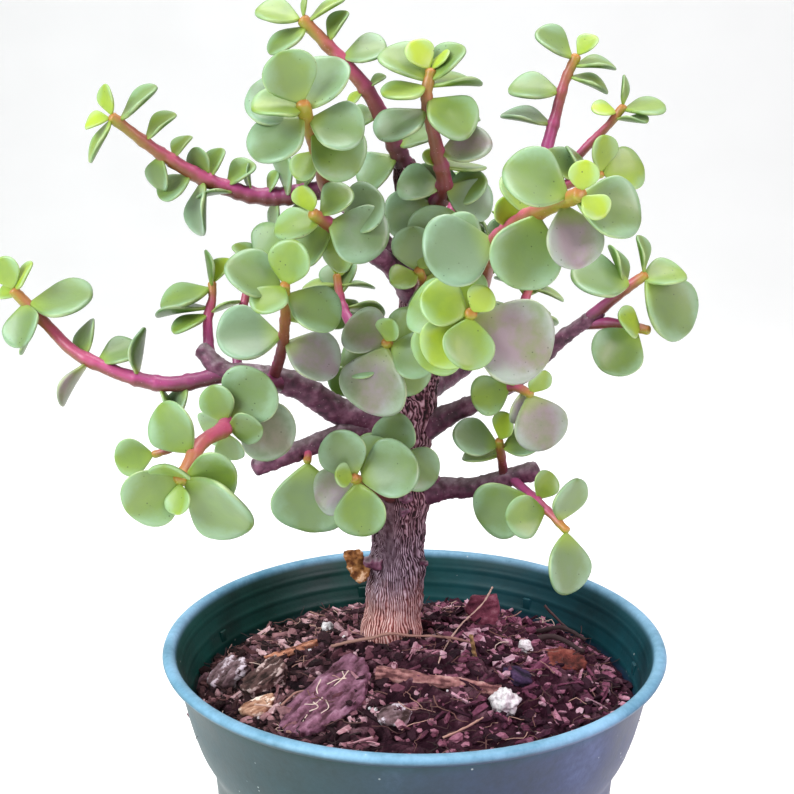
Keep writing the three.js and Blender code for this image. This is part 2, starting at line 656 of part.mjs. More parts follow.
const litter = [
  ...litterOf(CHIPS, chip, "chip"),
  ...litterOf(STICKS, stick, "stick"),
  ...litterOf(GRAINS, grain, "perlite"),
];
let soil = makeSoil().subtract(woodWithAir[0].solid);
const laid = [];
for (const [name, solid, withAir, finish] of litter) {
  const clear = laid.reduce((rest, other) => rest.subtract(other), solid);
  addPiece(name, largestBody(clear), finish);
  laid.push(withAir);
  soil = soil.subtract(withAir);
}
addPiece("soil", largestBody(soil), "soil");
addPiece("bark_flake", largestBody(solidOf(chip(BARK_FLAKE)).subtract(woodWithAir[0].solid)), "stick");

for (const [name, solid] of Object.entries(wood)) {
  addPiece(name, solid, name === "trunk" ? "bark" : "limb");
}

// The shoots: first every stem, so that no leaf is set across one, then the leaves.
const stems = Object.entries(SHOOTS).map(([name, shoot]) => {
  const bare = solidOf(limb(shoot.path, shoot.radii));
  return { name, shoot, bare, air: boxed(solidOf(limb(shoot.path, shoot.radii, GAP))) };
});
stems.forEach((stem, i) => {
  const before = [...woodWithAir, ...stems.slice(0, i).map((other) => other.air)];
  stem.solid = largestBody(before.reduce((rest, other) => rest.subtract(other.solid), stem.bare));
});

const flakeWithAir = boxed(solidOf(chip(BARK_FLAKE, GAP)));
const finished = [];
for (const { name, shoot, solid, air } of stems) {
  const otherStems = stems.filter((other) => other.air !== air).map((other) => boxed(other.solid));
  const neighbours = [...woodWithAir, flakeWithAir, ...otherStems, ...finished];
  const curve = new THREE.CatmullRomCurve3(shoot.path.map(vector), false, "centripetal");
  let whole = solid;
  for (const place of shoot.leaves) {
    const grown = growLeaf(curve, place, neighbours);
    if (grown) whole = whole.add(grown);
  }
  addPiece(name, largestBody(whole), "leaf");
  finished.push(boxed(largestBody(whole)));
}

export default plantInPot;
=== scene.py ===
# %% [markdown]
# # A potted elephant bush
#
# This lesson builds a small succulent tree in a plastic nursery pot. The pieces were first drawn as
# plain solids at their real size, and they come in here as a fixed frame. Each plain solid is then
# replaced by a finished piece that sits in the same place: a moulded pot with its ridges and lip,
# fibrous soil with bark and grit in it, a trunk with split bark, and shoots with fleshy leaves.
# The front of the plant faces -Y, +X is to its right, and +Z is up. Blender works in metres, and the
# sizes below are written in millimetres and multiplied by MM.

# %% Load the frame
import json
import math
import random

import bpy
import numpy as np
from mathutils import Matrix, Vector, kdtree, noise
from mathutils.bvhtree import BVHTree

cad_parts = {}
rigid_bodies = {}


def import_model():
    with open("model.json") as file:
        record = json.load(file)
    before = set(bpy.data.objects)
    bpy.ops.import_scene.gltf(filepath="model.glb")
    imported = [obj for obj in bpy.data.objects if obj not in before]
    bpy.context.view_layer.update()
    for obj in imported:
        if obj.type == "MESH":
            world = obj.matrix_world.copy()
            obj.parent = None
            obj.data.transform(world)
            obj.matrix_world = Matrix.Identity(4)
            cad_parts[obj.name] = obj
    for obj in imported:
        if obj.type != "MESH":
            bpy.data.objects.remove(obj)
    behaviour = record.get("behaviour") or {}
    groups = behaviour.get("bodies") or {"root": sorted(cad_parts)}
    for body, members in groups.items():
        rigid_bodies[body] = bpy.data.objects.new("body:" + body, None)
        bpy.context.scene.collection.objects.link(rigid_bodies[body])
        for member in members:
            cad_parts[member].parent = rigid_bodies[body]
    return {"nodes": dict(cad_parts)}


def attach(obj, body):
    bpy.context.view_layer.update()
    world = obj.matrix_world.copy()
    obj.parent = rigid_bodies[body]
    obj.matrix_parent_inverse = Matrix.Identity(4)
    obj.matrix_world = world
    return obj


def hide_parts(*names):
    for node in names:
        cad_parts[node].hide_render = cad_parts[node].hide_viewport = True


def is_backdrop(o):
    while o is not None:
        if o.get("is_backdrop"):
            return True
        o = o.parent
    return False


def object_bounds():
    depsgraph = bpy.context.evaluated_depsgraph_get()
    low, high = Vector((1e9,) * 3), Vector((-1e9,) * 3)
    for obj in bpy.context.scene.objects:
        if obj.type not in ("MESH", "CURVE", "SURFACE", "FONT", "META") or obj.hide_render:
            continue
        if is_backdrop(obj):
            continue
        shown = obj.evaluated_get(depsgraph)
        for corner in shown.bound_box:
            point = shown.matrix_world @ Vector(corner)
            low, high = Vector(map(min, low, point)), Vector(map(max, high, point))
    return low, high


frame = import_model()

MM = 0.001
cad_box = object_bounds()
print("nodes in the frame:", len(frame["nodes"]))
print("the frame's box in mm:", [[round(c / MM, 1) for c in corner] for corner in cad_box])

# %% [markdown]
# ## The camera, the floor and the light
#
# The plant is seen from a little above the pot's rim, from the front. The floor is one sheet that
# curves up behind the plant like a photographer's paper roll, so that no edge shows behind it.

# %% Camera
camera_data = bpy.data.cameras.new("camera")
camera_data.lens = 54.41
camera_data.sensor_width = 36
camera_data.clip_start = 0.01
camera = bpy.data.objects.new("camera", camera_data)
camera.location = (0, -0.344, 0.261)
camera.rotation_euler = (math.radians(77.38), 0, math.radians(0.865))
bpy.context.scene.collection.objects.link(camera)
bpy.context.scene.camera = camera
bpy.context.scene.view_settings.view_transform = "Standard"
print("camera at", tuple(round(c, 3) for c in camera.location))


# %% [markdown]
# Operators act on everything that is selected. This small helper leaves just one piece selected and
# active, and it is called before every operator.

# %% Select one piece
def only(piece):
    """Deselects everything and then selects one piece and makes it active."""
    bpy.ops.object.select_all(action="DESELECT")
    piece.select_set(True)
    bpy.context.view_layer.objects.active = piece


def edit(piece, mode="VERT"):
    """Opens a piece in edit mode with nothing selected."""
    only(piece)
    bpy.ops.object.mode_set(mode="EDIT")
    bpy.ops.mesh.select_mode(type=mode)
    bpy.ops.mesh.select_all(action="DESELECT")


def choose(piece, wanted, kind="vertices"):
    """In edit mode, selects only the points, edges or polygons for which wanted says yes."""
    bpy.ops.mesh.select_mode(type={"vertices": "VERT", "edges": "EDGE", "polygons": "FACE"}[kind])
    bpy.ops.mesh.select_all(action="DESELECT")
    bpy.ops.object.mode_set(mode="OBJECT")
    for item in getattr(piece.data, kind):
        item.select = bool(wanted(item))
    bpy.ops.object.mode_set(mode="EDIT")


def done(piece):
    """Leaves edit mode."""
    bpy.ops.object.mode_set(mode="OBJECT")
    return piece


def apply_modifiers(piece):
    only(piece)
    for modifier in list(piece.modifiers):
        bpy.ops.object.modifier_apply(modifier=modifier.name)
    return piece


def joined(name, pieces):
    """Joins pieces into one and gives it a name."""
    only(pieces[0])
    for piece in pieces[1:]:
        piece.select_set(True)
    bpy.ops.object.join()
    whole = bpy.context.object
    whole.name = name
    whole.data.name = name
    return whole


# %% Paper floor
bpy.ops.object.select_all(action="DESELECT")
bpy.ops.mesh.primitive_plane_add(size=4, location=(0, 0, 0))
floor = bpy.context.object
floor.name = "paper_floor"
bpy.ops.object.transform_apply(location=True, rotation=True, scale=True)
edit(floor, "EDGE")
choose(floor, lambda e: all(floor.data.vertices[i].co.y > 1.9 for i in e.vertices), "edges")
bpy.ops.mesh.extrude_region_move(TRANSFORM_OT_translate={"value": (0, 0, 2.6)})
choose(floor, lambda e: all(floor.data.vertices[i].co.y > 1.9 and floor.data.vertices[i].co.z < 0.1
                            for i in e.vertices), "edges")
bpy.ops.mesh.bevel(offset=0.8, segments=16, affect="EDGES")
done(floor)
bpy.ops.object.shade_smooth()
floor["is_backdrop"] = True
print("floor faces:", len(floor.data.polygons))


# %% Studio light
def soft_light(name, place, size, power, colour):
    """A large square light that looks at the plant's middle."""
    data = bpy.data.lights.new(name, "AREA")
    data.size = size
    data.energy = power
    data.color = colour
    light = bpy.data.objects.new(name, data)
    light.location = place
    aim = Vector((0, 0, 0.18)) - Vector(place)
    light.rotation_euler = aim.to_track_quat("-Z", "Y").to_euler()
    bpy.context.scene.collection.objects.link(light)
    return light


soft_light("window_left", (-0.9, -0.7, 0.9), 0.7, 18, (0.88, 1.0, 1.0))
soft_light("window_right", (1.0, -0.8, 0.7), 0.6, 9, (1.0, 0.82, 0.98))
soft_light("sky_panel", (0, 0.1, 1.3), 0.8, 13, (1.0, 1.0, 1.0))
world = bpy.data.worlds.new("pale_room")
world.use_nodes = True
world.node_tree.nodes["Background"].inputs["Color"].default_value = (1, 1, 1, 1)
world.node_tree.nodes["Background"].inputs["Strength"].default_value = 0.42
bpy.context.scene.world = world


# %% [markdown]
# ## A small language for materials
#
# A material is a graph of nodes. Written out link by link it is hard to read, so a thin wrapper is
# put around a node's output: adding two outputs adds a Math node, and so on. Colours are mixed by
# Mix nodes. Any other node comes from one method, `node`.

# %% Wires and finishes
def paint(code):
    """A colour written as #rrggbb, turned into the linear values that shaders use."""
    parts = [int(code[i:i + 2], 16) / 255 for i in (1, 3, 5)]
    linear = [c / 12.92 if c <= 0.04045 else ((c + 0.055) / 1.055) ** 2.4 for c in parts]
    return (*linear, 1.0)


class Wire:
    """The output of a node. Sums and products of wires add Math nodes."""

    def __init__(self, finish, socket):
        self.finish = finish
        self.socket = socket

    def _math(self, operation, first, second):
        return self.finish.node("ShaderNodeMath", {"operation": operation}, {0: first, 1: second})

    def __add__(self, other):
        return self._math("ADD", self, other)

    def __radd__(self, other):
        return self._math("ADD", other, self)

    def __sub__(self, other):
        return self._math("SUBTRACT", self, other)

    def __rsub__(self, other):
        return self._math("SUBTRACT", other, self)

    def __mul__(self, other):
        return self._math("MULTIPLY", self, other)

    def __rmul__(self, other):
        return self._math("MULTIPLY", other, self)

    def __pow__(self, other):
        return self._math("POWER", self, other)

    def __gt__(self, other):
        return self._math("GREATER_THAN", self, other)

    def step(self, low, high):
        """Rises smoothly from 0 at low to 1 at high. With low above high it falls instead."""
        settings = {"interpolation_type": "SMOOTHSTEP"}
        values = {"Value": self, "From Min": low, "From Max": high}
        return self.finish.node("ShaderNodeMapRange", settings, values)


class Finish:
    """A material with one main shader and a few short ways to feed it."""

    def __init__(self, name, **constants):
        self.material = bpy.data.materials.new(name)
        self.material.use_nodes = True
        self.tree = self.material.node_tree
        self.shader = self.tree.nodes["Principled BSDF"]
        for socket, value in constants.items():
            self.shader.inputs[socket.replace("_", " ")].default_value = value

    def node(self, kind, settings=None, values=None, output=0):
        """Adds any node: its settings first, then the values or wires of its inputs."""
        node = self.tree.nodes.new(kind)
        for key, value in (settings or {}).items():
            if key == "stops":
                self._stops(node.color_ramp, value)
            else:
                setattr(node, key, value)
        for key, value in (values or {}).items():
            self._feed(self._socket(node.inputs, key), value)
        return Wire(self, self._socket(node.outputs, output))

    @staticmethod
    def _socket(sockets, key):
        if isinstance(key, int):
            return [socket for socket in sockets if socket.enabled][key]
        return next(socket for socket in sockets if socket.enabled and socket.name == key)

    def _feed(self, socket, value):
        if isinstance(value, Wire):
            self.tree.links.new(value.socket, socket)
        elif isinstance(value, str):
            socket.default_value = paint(value)
        else:
            socket.default_value = value

    @staticmethod
    def _stops(ramp, stops):
        while len(ramp.elements) < len(stops):
            ramp.elements.new(0.5)
        for element, (place, colour) in zip(ramp.elements, stops):
            element.position = place
            element.color = paint(colour) if isinstance(colour, str) else (colour,) * 3 + (1,)

    def place(self, stretch=(1, 1, 1), turn=(0, 0, 0)):
        """The point on the piece, in metres, stretched along each axis."""
        at = self.node("ShaderNodeTexCoord", output="Object")
        return self.node("ShaderNodeMapping", {}, {"Vector": at, "Scale": stretch, "Rotation": turn})

    def kept(self, name, output="Fac"):
        """A number or a colour that the mesh keeps at each point."""
        return self.node("ShaderNodeAttribute", {"attribute_name": name}, output=output)

    def parts(self, colour):
        """The three numbers of a colour."""
        node = self.tree.nodes.new("ShaderNodeSeparateColor")
        self.tree.links.new(colour.socket, node.inputs[0])
        return [Wire(self, socket) for socket in node.outputs]

    def cloud(self, per_metre, detail=3, rough=0.55, at=None, stretch=(1, 1, 1)):
        """Soft noise from 0 to 1."""
        where = at or self.place(stretch)
        values = {"Vector": where, "Scale": per_metre, "Detail": detail, "Roughness": rough}
        return self.node("ShaderNodeTexNoise", {}, values)

    def dots(self, per_metre, radius):
        """Small round dots: 1 inside a dot, 0 between."""
        cell = self.node("ShaderNodeTexVoronoi", {}, {"Vector": self.place(), "Scale": per_metre})
        return cell.step(radius, radius * 0.5)

    def ramp(self, wire, *stops):
        return self.node("ShaderNodeValToRGB", {"stops": stops}, {"Fac": wire}, "Color")

    def mix(self, share, first, second, how="MIX"):
        """Two colours mixed."""
        settings = {"data_type": "RGBA", "blend_type": how}
        return self.node("ShaderNodeMix", settings, {0: share, 1: first, 2: second})

    def give(self, socket, wire):
        self._feed(self.shader.inputs[socket], wire)

    def bump(self, height, millimetres, strength=1.0):
        """Tilts the surface by a height from 0 to 1 that stands for so many millimetres."""
        values = {"Height": height, "Distance": millimetres * MM, "Strength": strength}
        self.give("Normal", self.node("ShaderNodeBump", {}, values))


# %% [markdown]
# The paper floor is nearly white, with a trace of tooth so that it isn't a dead flat colour.

# %% Finish of the floor
paper = Finish("paper", Roughness=0.9, Emission_Color=(1, 1, 1, 1), Emission_Strength=0.12)
paper.give("Base Color", paper.ramp(paper.cloud(6), (0.3, "#f7f7f6"), (0.7, "#fcfcfb")))
floor.data.materials.append(paper.material)


# %% [markdown]
# ## Finishing a piece
#
# Every finished piece gets its material, the body it rides on and the plain solids that it stands for.
# Its place is applied to its mesh, so that the object itself sits at the origin.

# %% Put a piece in place
made = {}


def ready(piece, finish, slot, *stands_for):
    only(piece)
    bpy.ops.object.transform_apply(location=True, rotation=True, scale=True)
    piece.data.materials.clear()
    piece.data.materials.append(finish.material)
    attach(piece, "root")
    if stands_for:
        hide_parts(*stands_for)
    faces = sum(len(polygon.vertices) - 2 for polygon in piece.data.polygons)
    made[piece.name] = faces
    print(f"{piece.name}: {faces} triangles, stands for {', '.join(stands_for) or 'nothing'}")
    return piece


# %% [markdown]
# ## The pot
#
# The pot is moulded plastic, round, with a wall that leans out, a rounded shoulder, a tall collar and
# a rolled lip. A potter's way suits it: a ring of edges is extruded up the outside a step at a time
# and widened at each step, then over the lip and down the inside. The collar's fine inner ridges are
# extra steps in the same profile.

# %% Profile of the pot
POT_HEIGHT = 110
RIM_RADIUS = 76
LIP_WIDTH = 3.8
LIP_DEPTH = 3.4
BASE_RADIUS = 50
SHOULDER_RADIUS = 62
SHOULDER_HEIGHT = 74
WALL = 1.6
POT_FLOOR = 1.8
RIDGES = (104.5, 99.2, 93.9, 88.6)
RIDGE_HEIGHT = 0.35
POT_SIDES = 144


def collar_radius(z):
    """The outside radius between the shoulder and the lip: a rounded step, then a straight lean."""
    heights = [SHOULDER_HEIGHT + step for step in (-12, 0, 6, 14, 24, 33)]
    radii = [SHOULDER_RADIUS + step for step in (-1, 0, 3.8, 6.4, 8.6, 11.0)]
    return float(np.interp(z, heights, radii))


def soft_collar(z):
    """The same, with its corners rounded over a few millimetres."""
    return float(np.mean([collar_radius(z + step) for step in np.linspace(-2.5, 2.5, 9)]))


outside = [(BASE_RADIUS - 0.8, 0), (BASE_RADIUS, 0.8)]
outside += [(BASE_RADIUS + 11 * share, 0.8 + 57.2 * share) for share in (0.25, 0.5, 0.75)]
outside += [(soft_collar(z), z) for z in np.linspace(SHOULDER_HEIGHT - 12, POT_HEIGHT - LIP_DEPTH, 30)]
lip_turn = [math.radians(angle) for angle in (-70, -35, 0, 35, 65, 90, 120, 150, 180)]
lip = [(RIM_RADIUS - LIP_WIDTH / 2 + LIP_WIDTH / 2 * math.cos(a), POT_HEIGHT - 1.5 + 1.5 * math.sin(a))
       for a in lip_turn]
inside = []
for z in np.linspace(POT_HEIGHT - LIP_DEPTH, SHOULDER_HEIGHT - 12, 60):
    nearest = min(abs(z - ridge) for ridge in RIDGES)
    inside.append((soft_collar(z) - WALL - RIDGE_HEIGHT * max(0, 1 - nearest / 0.9), z))
inside += [(BASE_RADIUS - WALL, POT_FLOOR)]
pot_rows = outside + [(RIM_RADIUS - 1.6, POT_HEIGHT - LIP_DEPTH)] + lip + inside
print("rows in the pot's profile:", len(pot_rows))

# %% Throw the pot
def thrown(name, rows, sides):
    """A closed round shape: a ring of edges drawn from row to row, with both ends filled."""
    bpy.ops.object.select_all(action="DESELECT")
    bpy.ops.mesh.primitive_circle_add(
        vertices=sides, radius=rows[0][0] * MM, fill_type="NOTHING", location=(0, 0, rows[0][1] * MM))
    shape = bpy.context.object
    shape.name = name
    bpy.ops.object.transform_apply(location=True, rotation=False, scale=False)
    bpy.ops.object.mode_set(mode="EDIT")
    bpy.ops.mesh.select_mode(type="EDGE")
    bpy.ops.mesh.select_all(action="SELECT")
    for (radius, height), (next_radius, next_height) in zip(rows, rows[1:]):
        rise = (0, 0, (next_height - height) * MM)
        bpy.ops.mesh.extrude_edges_move(TRANSFORM_OT_translate={"value": rise})
        bpy.ops.transform.resize(value=(next_radius / radius, next_radius / radius, 1))
    bpy.ops.mesh.edge_face_add()
    choose(shape, lambda v: v.index < sides)
    bpy.ops.mesh.edge_face_add()
    bpy.ops.mesh.select_all(action="SELECT")
    bpy.ops.mesh.normals_make_consistent(inside=False)
    return done(shape)


pot = thrown("nursery_pot", pot_rows, POT_SIDES)
print("pot height in mm:", round(pot.dimensions.z / MM, 1), "width:", round(pot.dimensions.x / MM, 1))

# %% [markdown]
# Six drain holes go through the floor, and seven small lugs inside the collar stop stacked pots from
# jamming. The holes are cut with a Boolean modifier. The lugs are little bevelled blocks let into the
# wall and joined to it the same way.

# %% Drain holes and lugs
DRAIN_HOLES = 6
LUGS = 7


def round_the_pot(count, start, make):
    """Makes the same thing count times round the axis and joins the copies."""
    copies = []
    for i in range(count):
        angle = start + i / count * 2 * math.pi
        copies.append(make(angle))
    return joined("cutter", copies)


def drill(angle):
    bpy.ops.object.select_all(action="DESELECT")
    bpy.ops.mesh.primitive_cylinder_add(
        vertices=32, radius=3.5 * MM, depth=8 * MM,
        location=(40 * MM * math.cos(angle), 40 * MM * math.sin(angle), 0))
    return bpy.context.object


def lug_block(angle):
    bpy.ops.object.select_all(action="DESELECT")
    out = (SHOULDER_RADIUS + 8.6 - WALL) * MM
    bpy.ops.mesh.primitive_cube_add(
        size=1, location=(out * math.cos(angle), out * math.sin(angle), 96.5 * MM),
        rotation=(0, 0, angle), scale=(1.7 * MM, 3 * MM, 4 * MM))
    block = bpy.context.object
    bpy.ops.object.transform_apply(location=False, rotation=False, scale=True)
    bpy.ops.object.mode_set(mode="EDIT")
    bpy.ops.mesh.select_all(action="SELECT")
    bpy.ops.mesh.bevel(offset=0.45 * MM, segments=3, affect="EDGES")
    return done(block)


def combine(piece, other, operation):
    modifier = piece.modifiers.new("combine", "BOOLEAN")
    modifier.object = other
    modifier.operation = operation
    modifier.solver = "EXACT"
    apply_modifiers(piece)
    bpy.data.objects.remove(other)


combine(pot, round_the_pot(DRAIN_HOLES, 0, drill), "DIFFERENCE")
combine(pot, round_the_pot(LUGS, math.radians(3), lug_block), "UNION")
only(pot)
bpy.ops.object.shade_smooth_by_angle(angle=math.radians(40))

# %% [markdown]
# The plastic is dark green, deep and clean inside where it is sheltered, and dusty and greyer outside.
# The lip carries a painted highlight: it is painted pale blue, broken up by small scuffs. The right
# side is painted bluer inside and slate-lilac outside, a painted tint of the lilac light from the right.
# The finish reads the height above the base, the side and the distance from the axis to tell these
# places apart.

# %% Finish of the pot
plastic = Finish("nursery_plastic", Roughness=0.4, Specular_IOR_Level=0.35)
east, _, up = plastic.parts(plastic.place())
flat_place = plastic.node("ShaderNodeVectorMath", {"operation": "MULTIPLY"},
                          {0: plastic.place(), 1: (1, 1, 0)})
from_axis = plastic.node("ShaderNodeVectorMath", {"operation": "LENGTH"}, {0: flat_place}, "Value")
on_lip = up.step((POT_HEIGHT - 2.6) * MM, (POT_HEIGHT - 0.4) * MM)
leaning = from_axis - (up - SHOULDER_HEIGHT * MM) * 0.36
outer_side = leaning.step((SHOULDER_RADIUS - 1.2) * MM, (SHOULDER_RADIUS - 0.4) * MM)
dust = plastic.cloud(45, 5, 0.6)
fine_dust = plastic.cloud(420, 4, 0.7)
# Inside, the right side is painted bluer: a painted tint of the lilac light from the right.
inner_colour = plastic.mix(east.step(-0.03, 0.05), plastic.ramp(dust, (0.3, "#012a24"), (0.7, "#03453d")),
                           plastic.ramp(dust, (0.3, "#073138"), (0.7, "#0d4d58")))
scuffs = dust * 0.7 + fine_dust * 0.3
green_side = plastic.ramp(scuffs, (0.32, "#112a2b"), (0.55, "#1e3a3f"), (0.72, "#374f57"))
# The slate-lilac outer wall on the right is a painted tint of the lilac light from the right. The scuffs in
# it are real dust.
painted_lilac_light_side = plastic.ramp(scuffs, (0.32, "#1d2740"), (0.55, "#2e385d"), (0.72, "#49547c"))
outer_colour = plastic.mix(east.step(-0.035, 0.055), green_side, painted_lilac_light_side)
# The lip's pale blue is a painted highlight. The scuffs that break it up are real wear.
painted_lip_highlight = plastic.ramp(scuffs, (0.35, "#4d7f97"), (0.65, "#86b2cf"))
wall_colour = plastic.mix(outer_side, inner_colour, outer_colour)
specks = plastic.dots(260, 0.10) * plastic.cloud(60, 2).step(0.5, 0.65)
body_colour = plastic.mix(on_lip, wall_colour, painted_lip_highlight)
plastic.give("Base Color", plastic.mix(specks * 0.7, body_colour, "#c9d2d0"))
plastic.give("Roughness", dust * 0.35 + 0.28)
plastic.bump(plastic.cloud(900, 3) * 0.6 + dust * 0.4, 0.12, 0.6)
ready(pot, plastic, "pot_plastic", "pot")


# %% [markdown]
# ## Weathering a surface
#
# Bark, soil and broken chips all need a surface that is rough in a real way, and their colours must
# follow that roughness, dark in the cracks and light on the ridges. A Displace modifier could move
# the points, but the material couldn't tell how far. So a helper moves the points along their normals
# in code and keeps the height of each one with the mesh, where the material can read it.

# %% Helper that weathers a piece
def points_of(mesh):
    flat = np.empty(len(mesh.vertices) * 3)
    mesh.vertices.foreach_get("co", flat)
    return flat.reshape(-1, 3)


def keep(mesh, name, values):
    """Keeps a number for each point of the mesh."""
    attribute = mesh.attributes.new(name, "FLOAT", "POINT")
    attribute.data.foreach_set("value", np.asarray(values, dtype=np.float32))


def keep_colour(mesh, name, rows):
    """Keeps three numbers for each point of the mesh."""
    attribute = mesh.attributes.new(name, "FLOAT_COLOR", "POINT")
    rows = np.asarray(rows, dtype=np.float32)
    attribute.data.foreach_set("color", np.c_[rows, np.ones(len(rows), np.float32)].ravel())


def weather(piece, height, depth, name="relief"):
    """Moves each point along its normal by height(point in mm) * depth mm, and keeps the height."""
    mesh = piece.data
    places = points_of(mesh)
    flat = np.empty(len(mesh.vertices) * 3)
    mesh.vertices.foreach_get("normal", flat)
    heights = np.array([height(Vector(place) / MM) for place in places])
    moved = places + flat.reshape(-1, 3) * (heights * depth * MM)[:, None]
    mesh.vertices.foreach_set("co", moved.ravel())
    keep(mesh, name, heights)
    mesh.update()
    return piece


def stretched(point, x, y, z):
    return Vector((point.x * x, point.y * y, point.z * z))


# %% [markdown]
# ## Smooth lines and tubes
#
# Trunk, limbs and stems all follow a smooth line through a few given points. The line is the
# same one that the plain solids follow: a Catmull-Rom curve whose corners are eased by the square root
# of each step's length. A tube is then a Blender curve with a radius at each point, made into a mesh.

# %% Smooth line
class Line:
    """A smooth line through points in mm, measured along its length."""

    def __init__(self, points, fine=40):
        places = [Vector(point[:3]) for point in points]
        if len(places) == 2:
            places.insert(1, (places[0] + places[1]) / 2)
        ends = [places[0] * 2 - places[1]] + places + [places[-1] * 2 - places[-2]]
        self.points = []
        for a, b, c, d in zip(ends, ends[1:], ends[2:], ends[3:]):
            self.points += self._stretch(a, b, c, d, fine)
        self.points.append(places[-1])
        steps = [(q - p).length for p, q in zip(self.points, self.points[1:])]
        self.reach = np.r_[0, np.cumsum(steps)]
        self.length = float(self.reach[-1])

    @staticmethod
    def _stretch(a, b, c, d, fine):
        before, here, after = [max((q - p).length ** 0.5, 1e-6) for p, q in ((a, b), (b, c), (c, d))]
        leave = ((b - a) / before - (c - a) / (before + here) + (c - b) / here) * here
        arrive = ((c - b) / here - (d - b) / (here + after) + (d - c) / after) * here
        rows = []
        for i in range(fine):
            t = i / fine
            rows.append(b * (2 * t**3 - 3 * t**2 + 1) + leave * (t**3 - 2 * t**2 + t)
                        + c * (3 * t**2 - 2 * t**3) + arrive * (t**3 - t**2))
        return rows

    def at(self, distance):
        """The point so far along the line, and the way the line runs there."""
        distance = min(max(distance, 0), self.length)
        i = min(int(np.searchsorted(self.reach, distance, side="right")) - 1, len(self.points) - 2)
        share = (distance - self.reach[i]) / max(self.reach[i + 1] - self.reach[i], 1e-9)
        step = self.points[i + 1] - self.points[i]
        return self.points[i] + step * float(share), step.normalized()


def tube(name, line, radius, spacing, fineness, round_tip=0.0, start=0.0):
    """A tube along a line. radius(share) is in mm, and a round tip tapers over so many mm."""
    count = max(4, int((line.length - start) / spacing))
    stations = [start + (line.length - start) * i / count for i in range(count + 1)]
    rows = [(line.at(d)[0], radius(d / line.length)) for d in stations]
    if round_tip:
        tip, way = line.at(line.length)
        rows += [(tip + way * round_tip * math.sin(a), rows[-1][1] * math.cos(a))
                 for a in (0.5, 0.9, 1.2, 1.4)]
    curve = bpy.data.curves.new(name, "CURVE")
    curve.dimensions = "3D"
    curve.bevel_depth = MM
    curve.bevel_resolution = fineness
    curve.use_fill_caps = True
    spline = curve.splines.new("POLY")
    spline.points.add(len(rows) - 1)
    for point, (place, size) in zip(spline.points, rows):
        point.co = (*(place * MM), 1)
        point.radius = size
    piece = bpy.data.objects.new(name, curve)
    bpy.context.scene.collection.objects.link(piece)
    only(piece)
    bpy.ops.object.convert(target="MESH")
    piece = bpy.context.object
    bpy.ops.object.mode_set(mode="EDIT")
    bpy.ops.mesh.select_all(action="SELECT")
    bpy.ops.mesh.remove_doubles(threshold=1e-6)
    bpy.ops.mesh.normals_make_consistent(inside=False)
    done(piece)
    bpy.ops.object.shade_smooth()
    return piece


def keep_share(piece, line, name="share"):
    """Keeps how far along its line each point lies, from 0 at the foot to 1 at the tip."""
    tree = kdtree.KDTree(len(line.points))
    for i, point in enumerate(line.points):
        tree.insert(point * MM, i)
    tree.balance()
    found = [tree.find(place)[1] for place in points_of(piece.data)]
    keep(piece.data, name, [line.reach[i] / line.length for i in found])


# %% [markdown]
# ## The skeleton
#
# The trunk and its limbs are rows of [x, y, z, radius]. Each shoot has a line from its foot to its
# tip, the stem's radius at both ends, and its leaves. A leaf is [distance back from the tip, clock,
# depth, length, turn to the light]: the clock is the way it points as seen from the front, from 0 at
# the right through 90 at the top, and the depth is how far it leans to the back.

# %% Trunk, limbs and shoots
TRUNK = [
    [-7, 5, 98, 10.5], [-7, 6, 108, 9.9], [-6, 8, 120, 8.9], [-5, 10, 135, 8.7], [-4, 11, 150, 8.8],
    [-3, 12, 170, 8], [0, 12, 186, 6.6], [1, 12, 204, 5.2], [-1, 12, 224, 4.5], [-3, 10, 252, 3.2],
]
LIMBS = {
    "left_limb": [
        [-8, 11, 173, 4.2], [-22, 6, 178, 4], [-35, 2, 187, 3.9], [-46, 0, 190, 3.7], [-56, -2, 192, 3.3],
        [-62, 0, 198, 2.4],
    ],
    "right_limb": [
        [0, 12, 171, 3.2], [13, 8, 178, 2.7], [25, 4, 185, 2.4], [34, 2, 192, 2.3], [42, 0, 201, 2.1],
        [53, -4, 210, 1.8],
    ],
    "upper_left_limb": [[-1, 12, 216, 3.4], [-12, 13, 230, 3.2], [-20, 17, 239, 3], [-28, 20, 243, 2.9]],
    "inner_left_limb": [[0, 12, 213, 3.2], [-3, 3, 219, 2.9], [-9, -6, 225, 2.7], [-20, -17, 233, 2.4]],
    "right_top_limb": [
        [0, 12, 212, 3.4], [15, 13, 221, 3.1], [26, 15, 229, 2.9], [34, 20, 239, 2.7], [39, 25, 247, 2.4],
    ],
    "lower_right_limb": [
        [-4, 11, 150, 3.6], [9, 10, 153, 3.2], [18, 8, 154, 2.9], [28, 5, 158, 2.7], [36, 2, 161, 2.8],
    ],
    "pruned_limb": [[-6, 12, 170, 3], [-20, 4, 172, 2.9], [-33, -4, 169, 2.8], [-46, -9, 165, 2.7]],
    "back_left_limb": [[-4, 12, 178, 3.4], [-12, 28, 187, 2.8], [-20, 42, 197, 2.3]],
    "back_right_limb": [[-1, 12, 182, 3.4], [14, 30, 186, 2.8], [28, 44, 196, 2.3]],
    "back_top_limb": [[0, 12, 210, 3], [5, 30, 220, 2.6], [10, 42, 230, 2.2]],
}


def tuft(turn):
    """A plain tuft at the back: leaves round the stem, the young ones shorter and nearer the tip."""
    return [[0, turn + 90, 0, 8], [1, turn + 60, 40, 8], [3, turn, 10, 12], [3, turn + 180, 10, 12],
            [7, 270 - turn, 40, 14], [7, 90 + turn, 35, 14], [11, turn - 10, 20, 14],
            [11, turn + 190, 20, 14]]


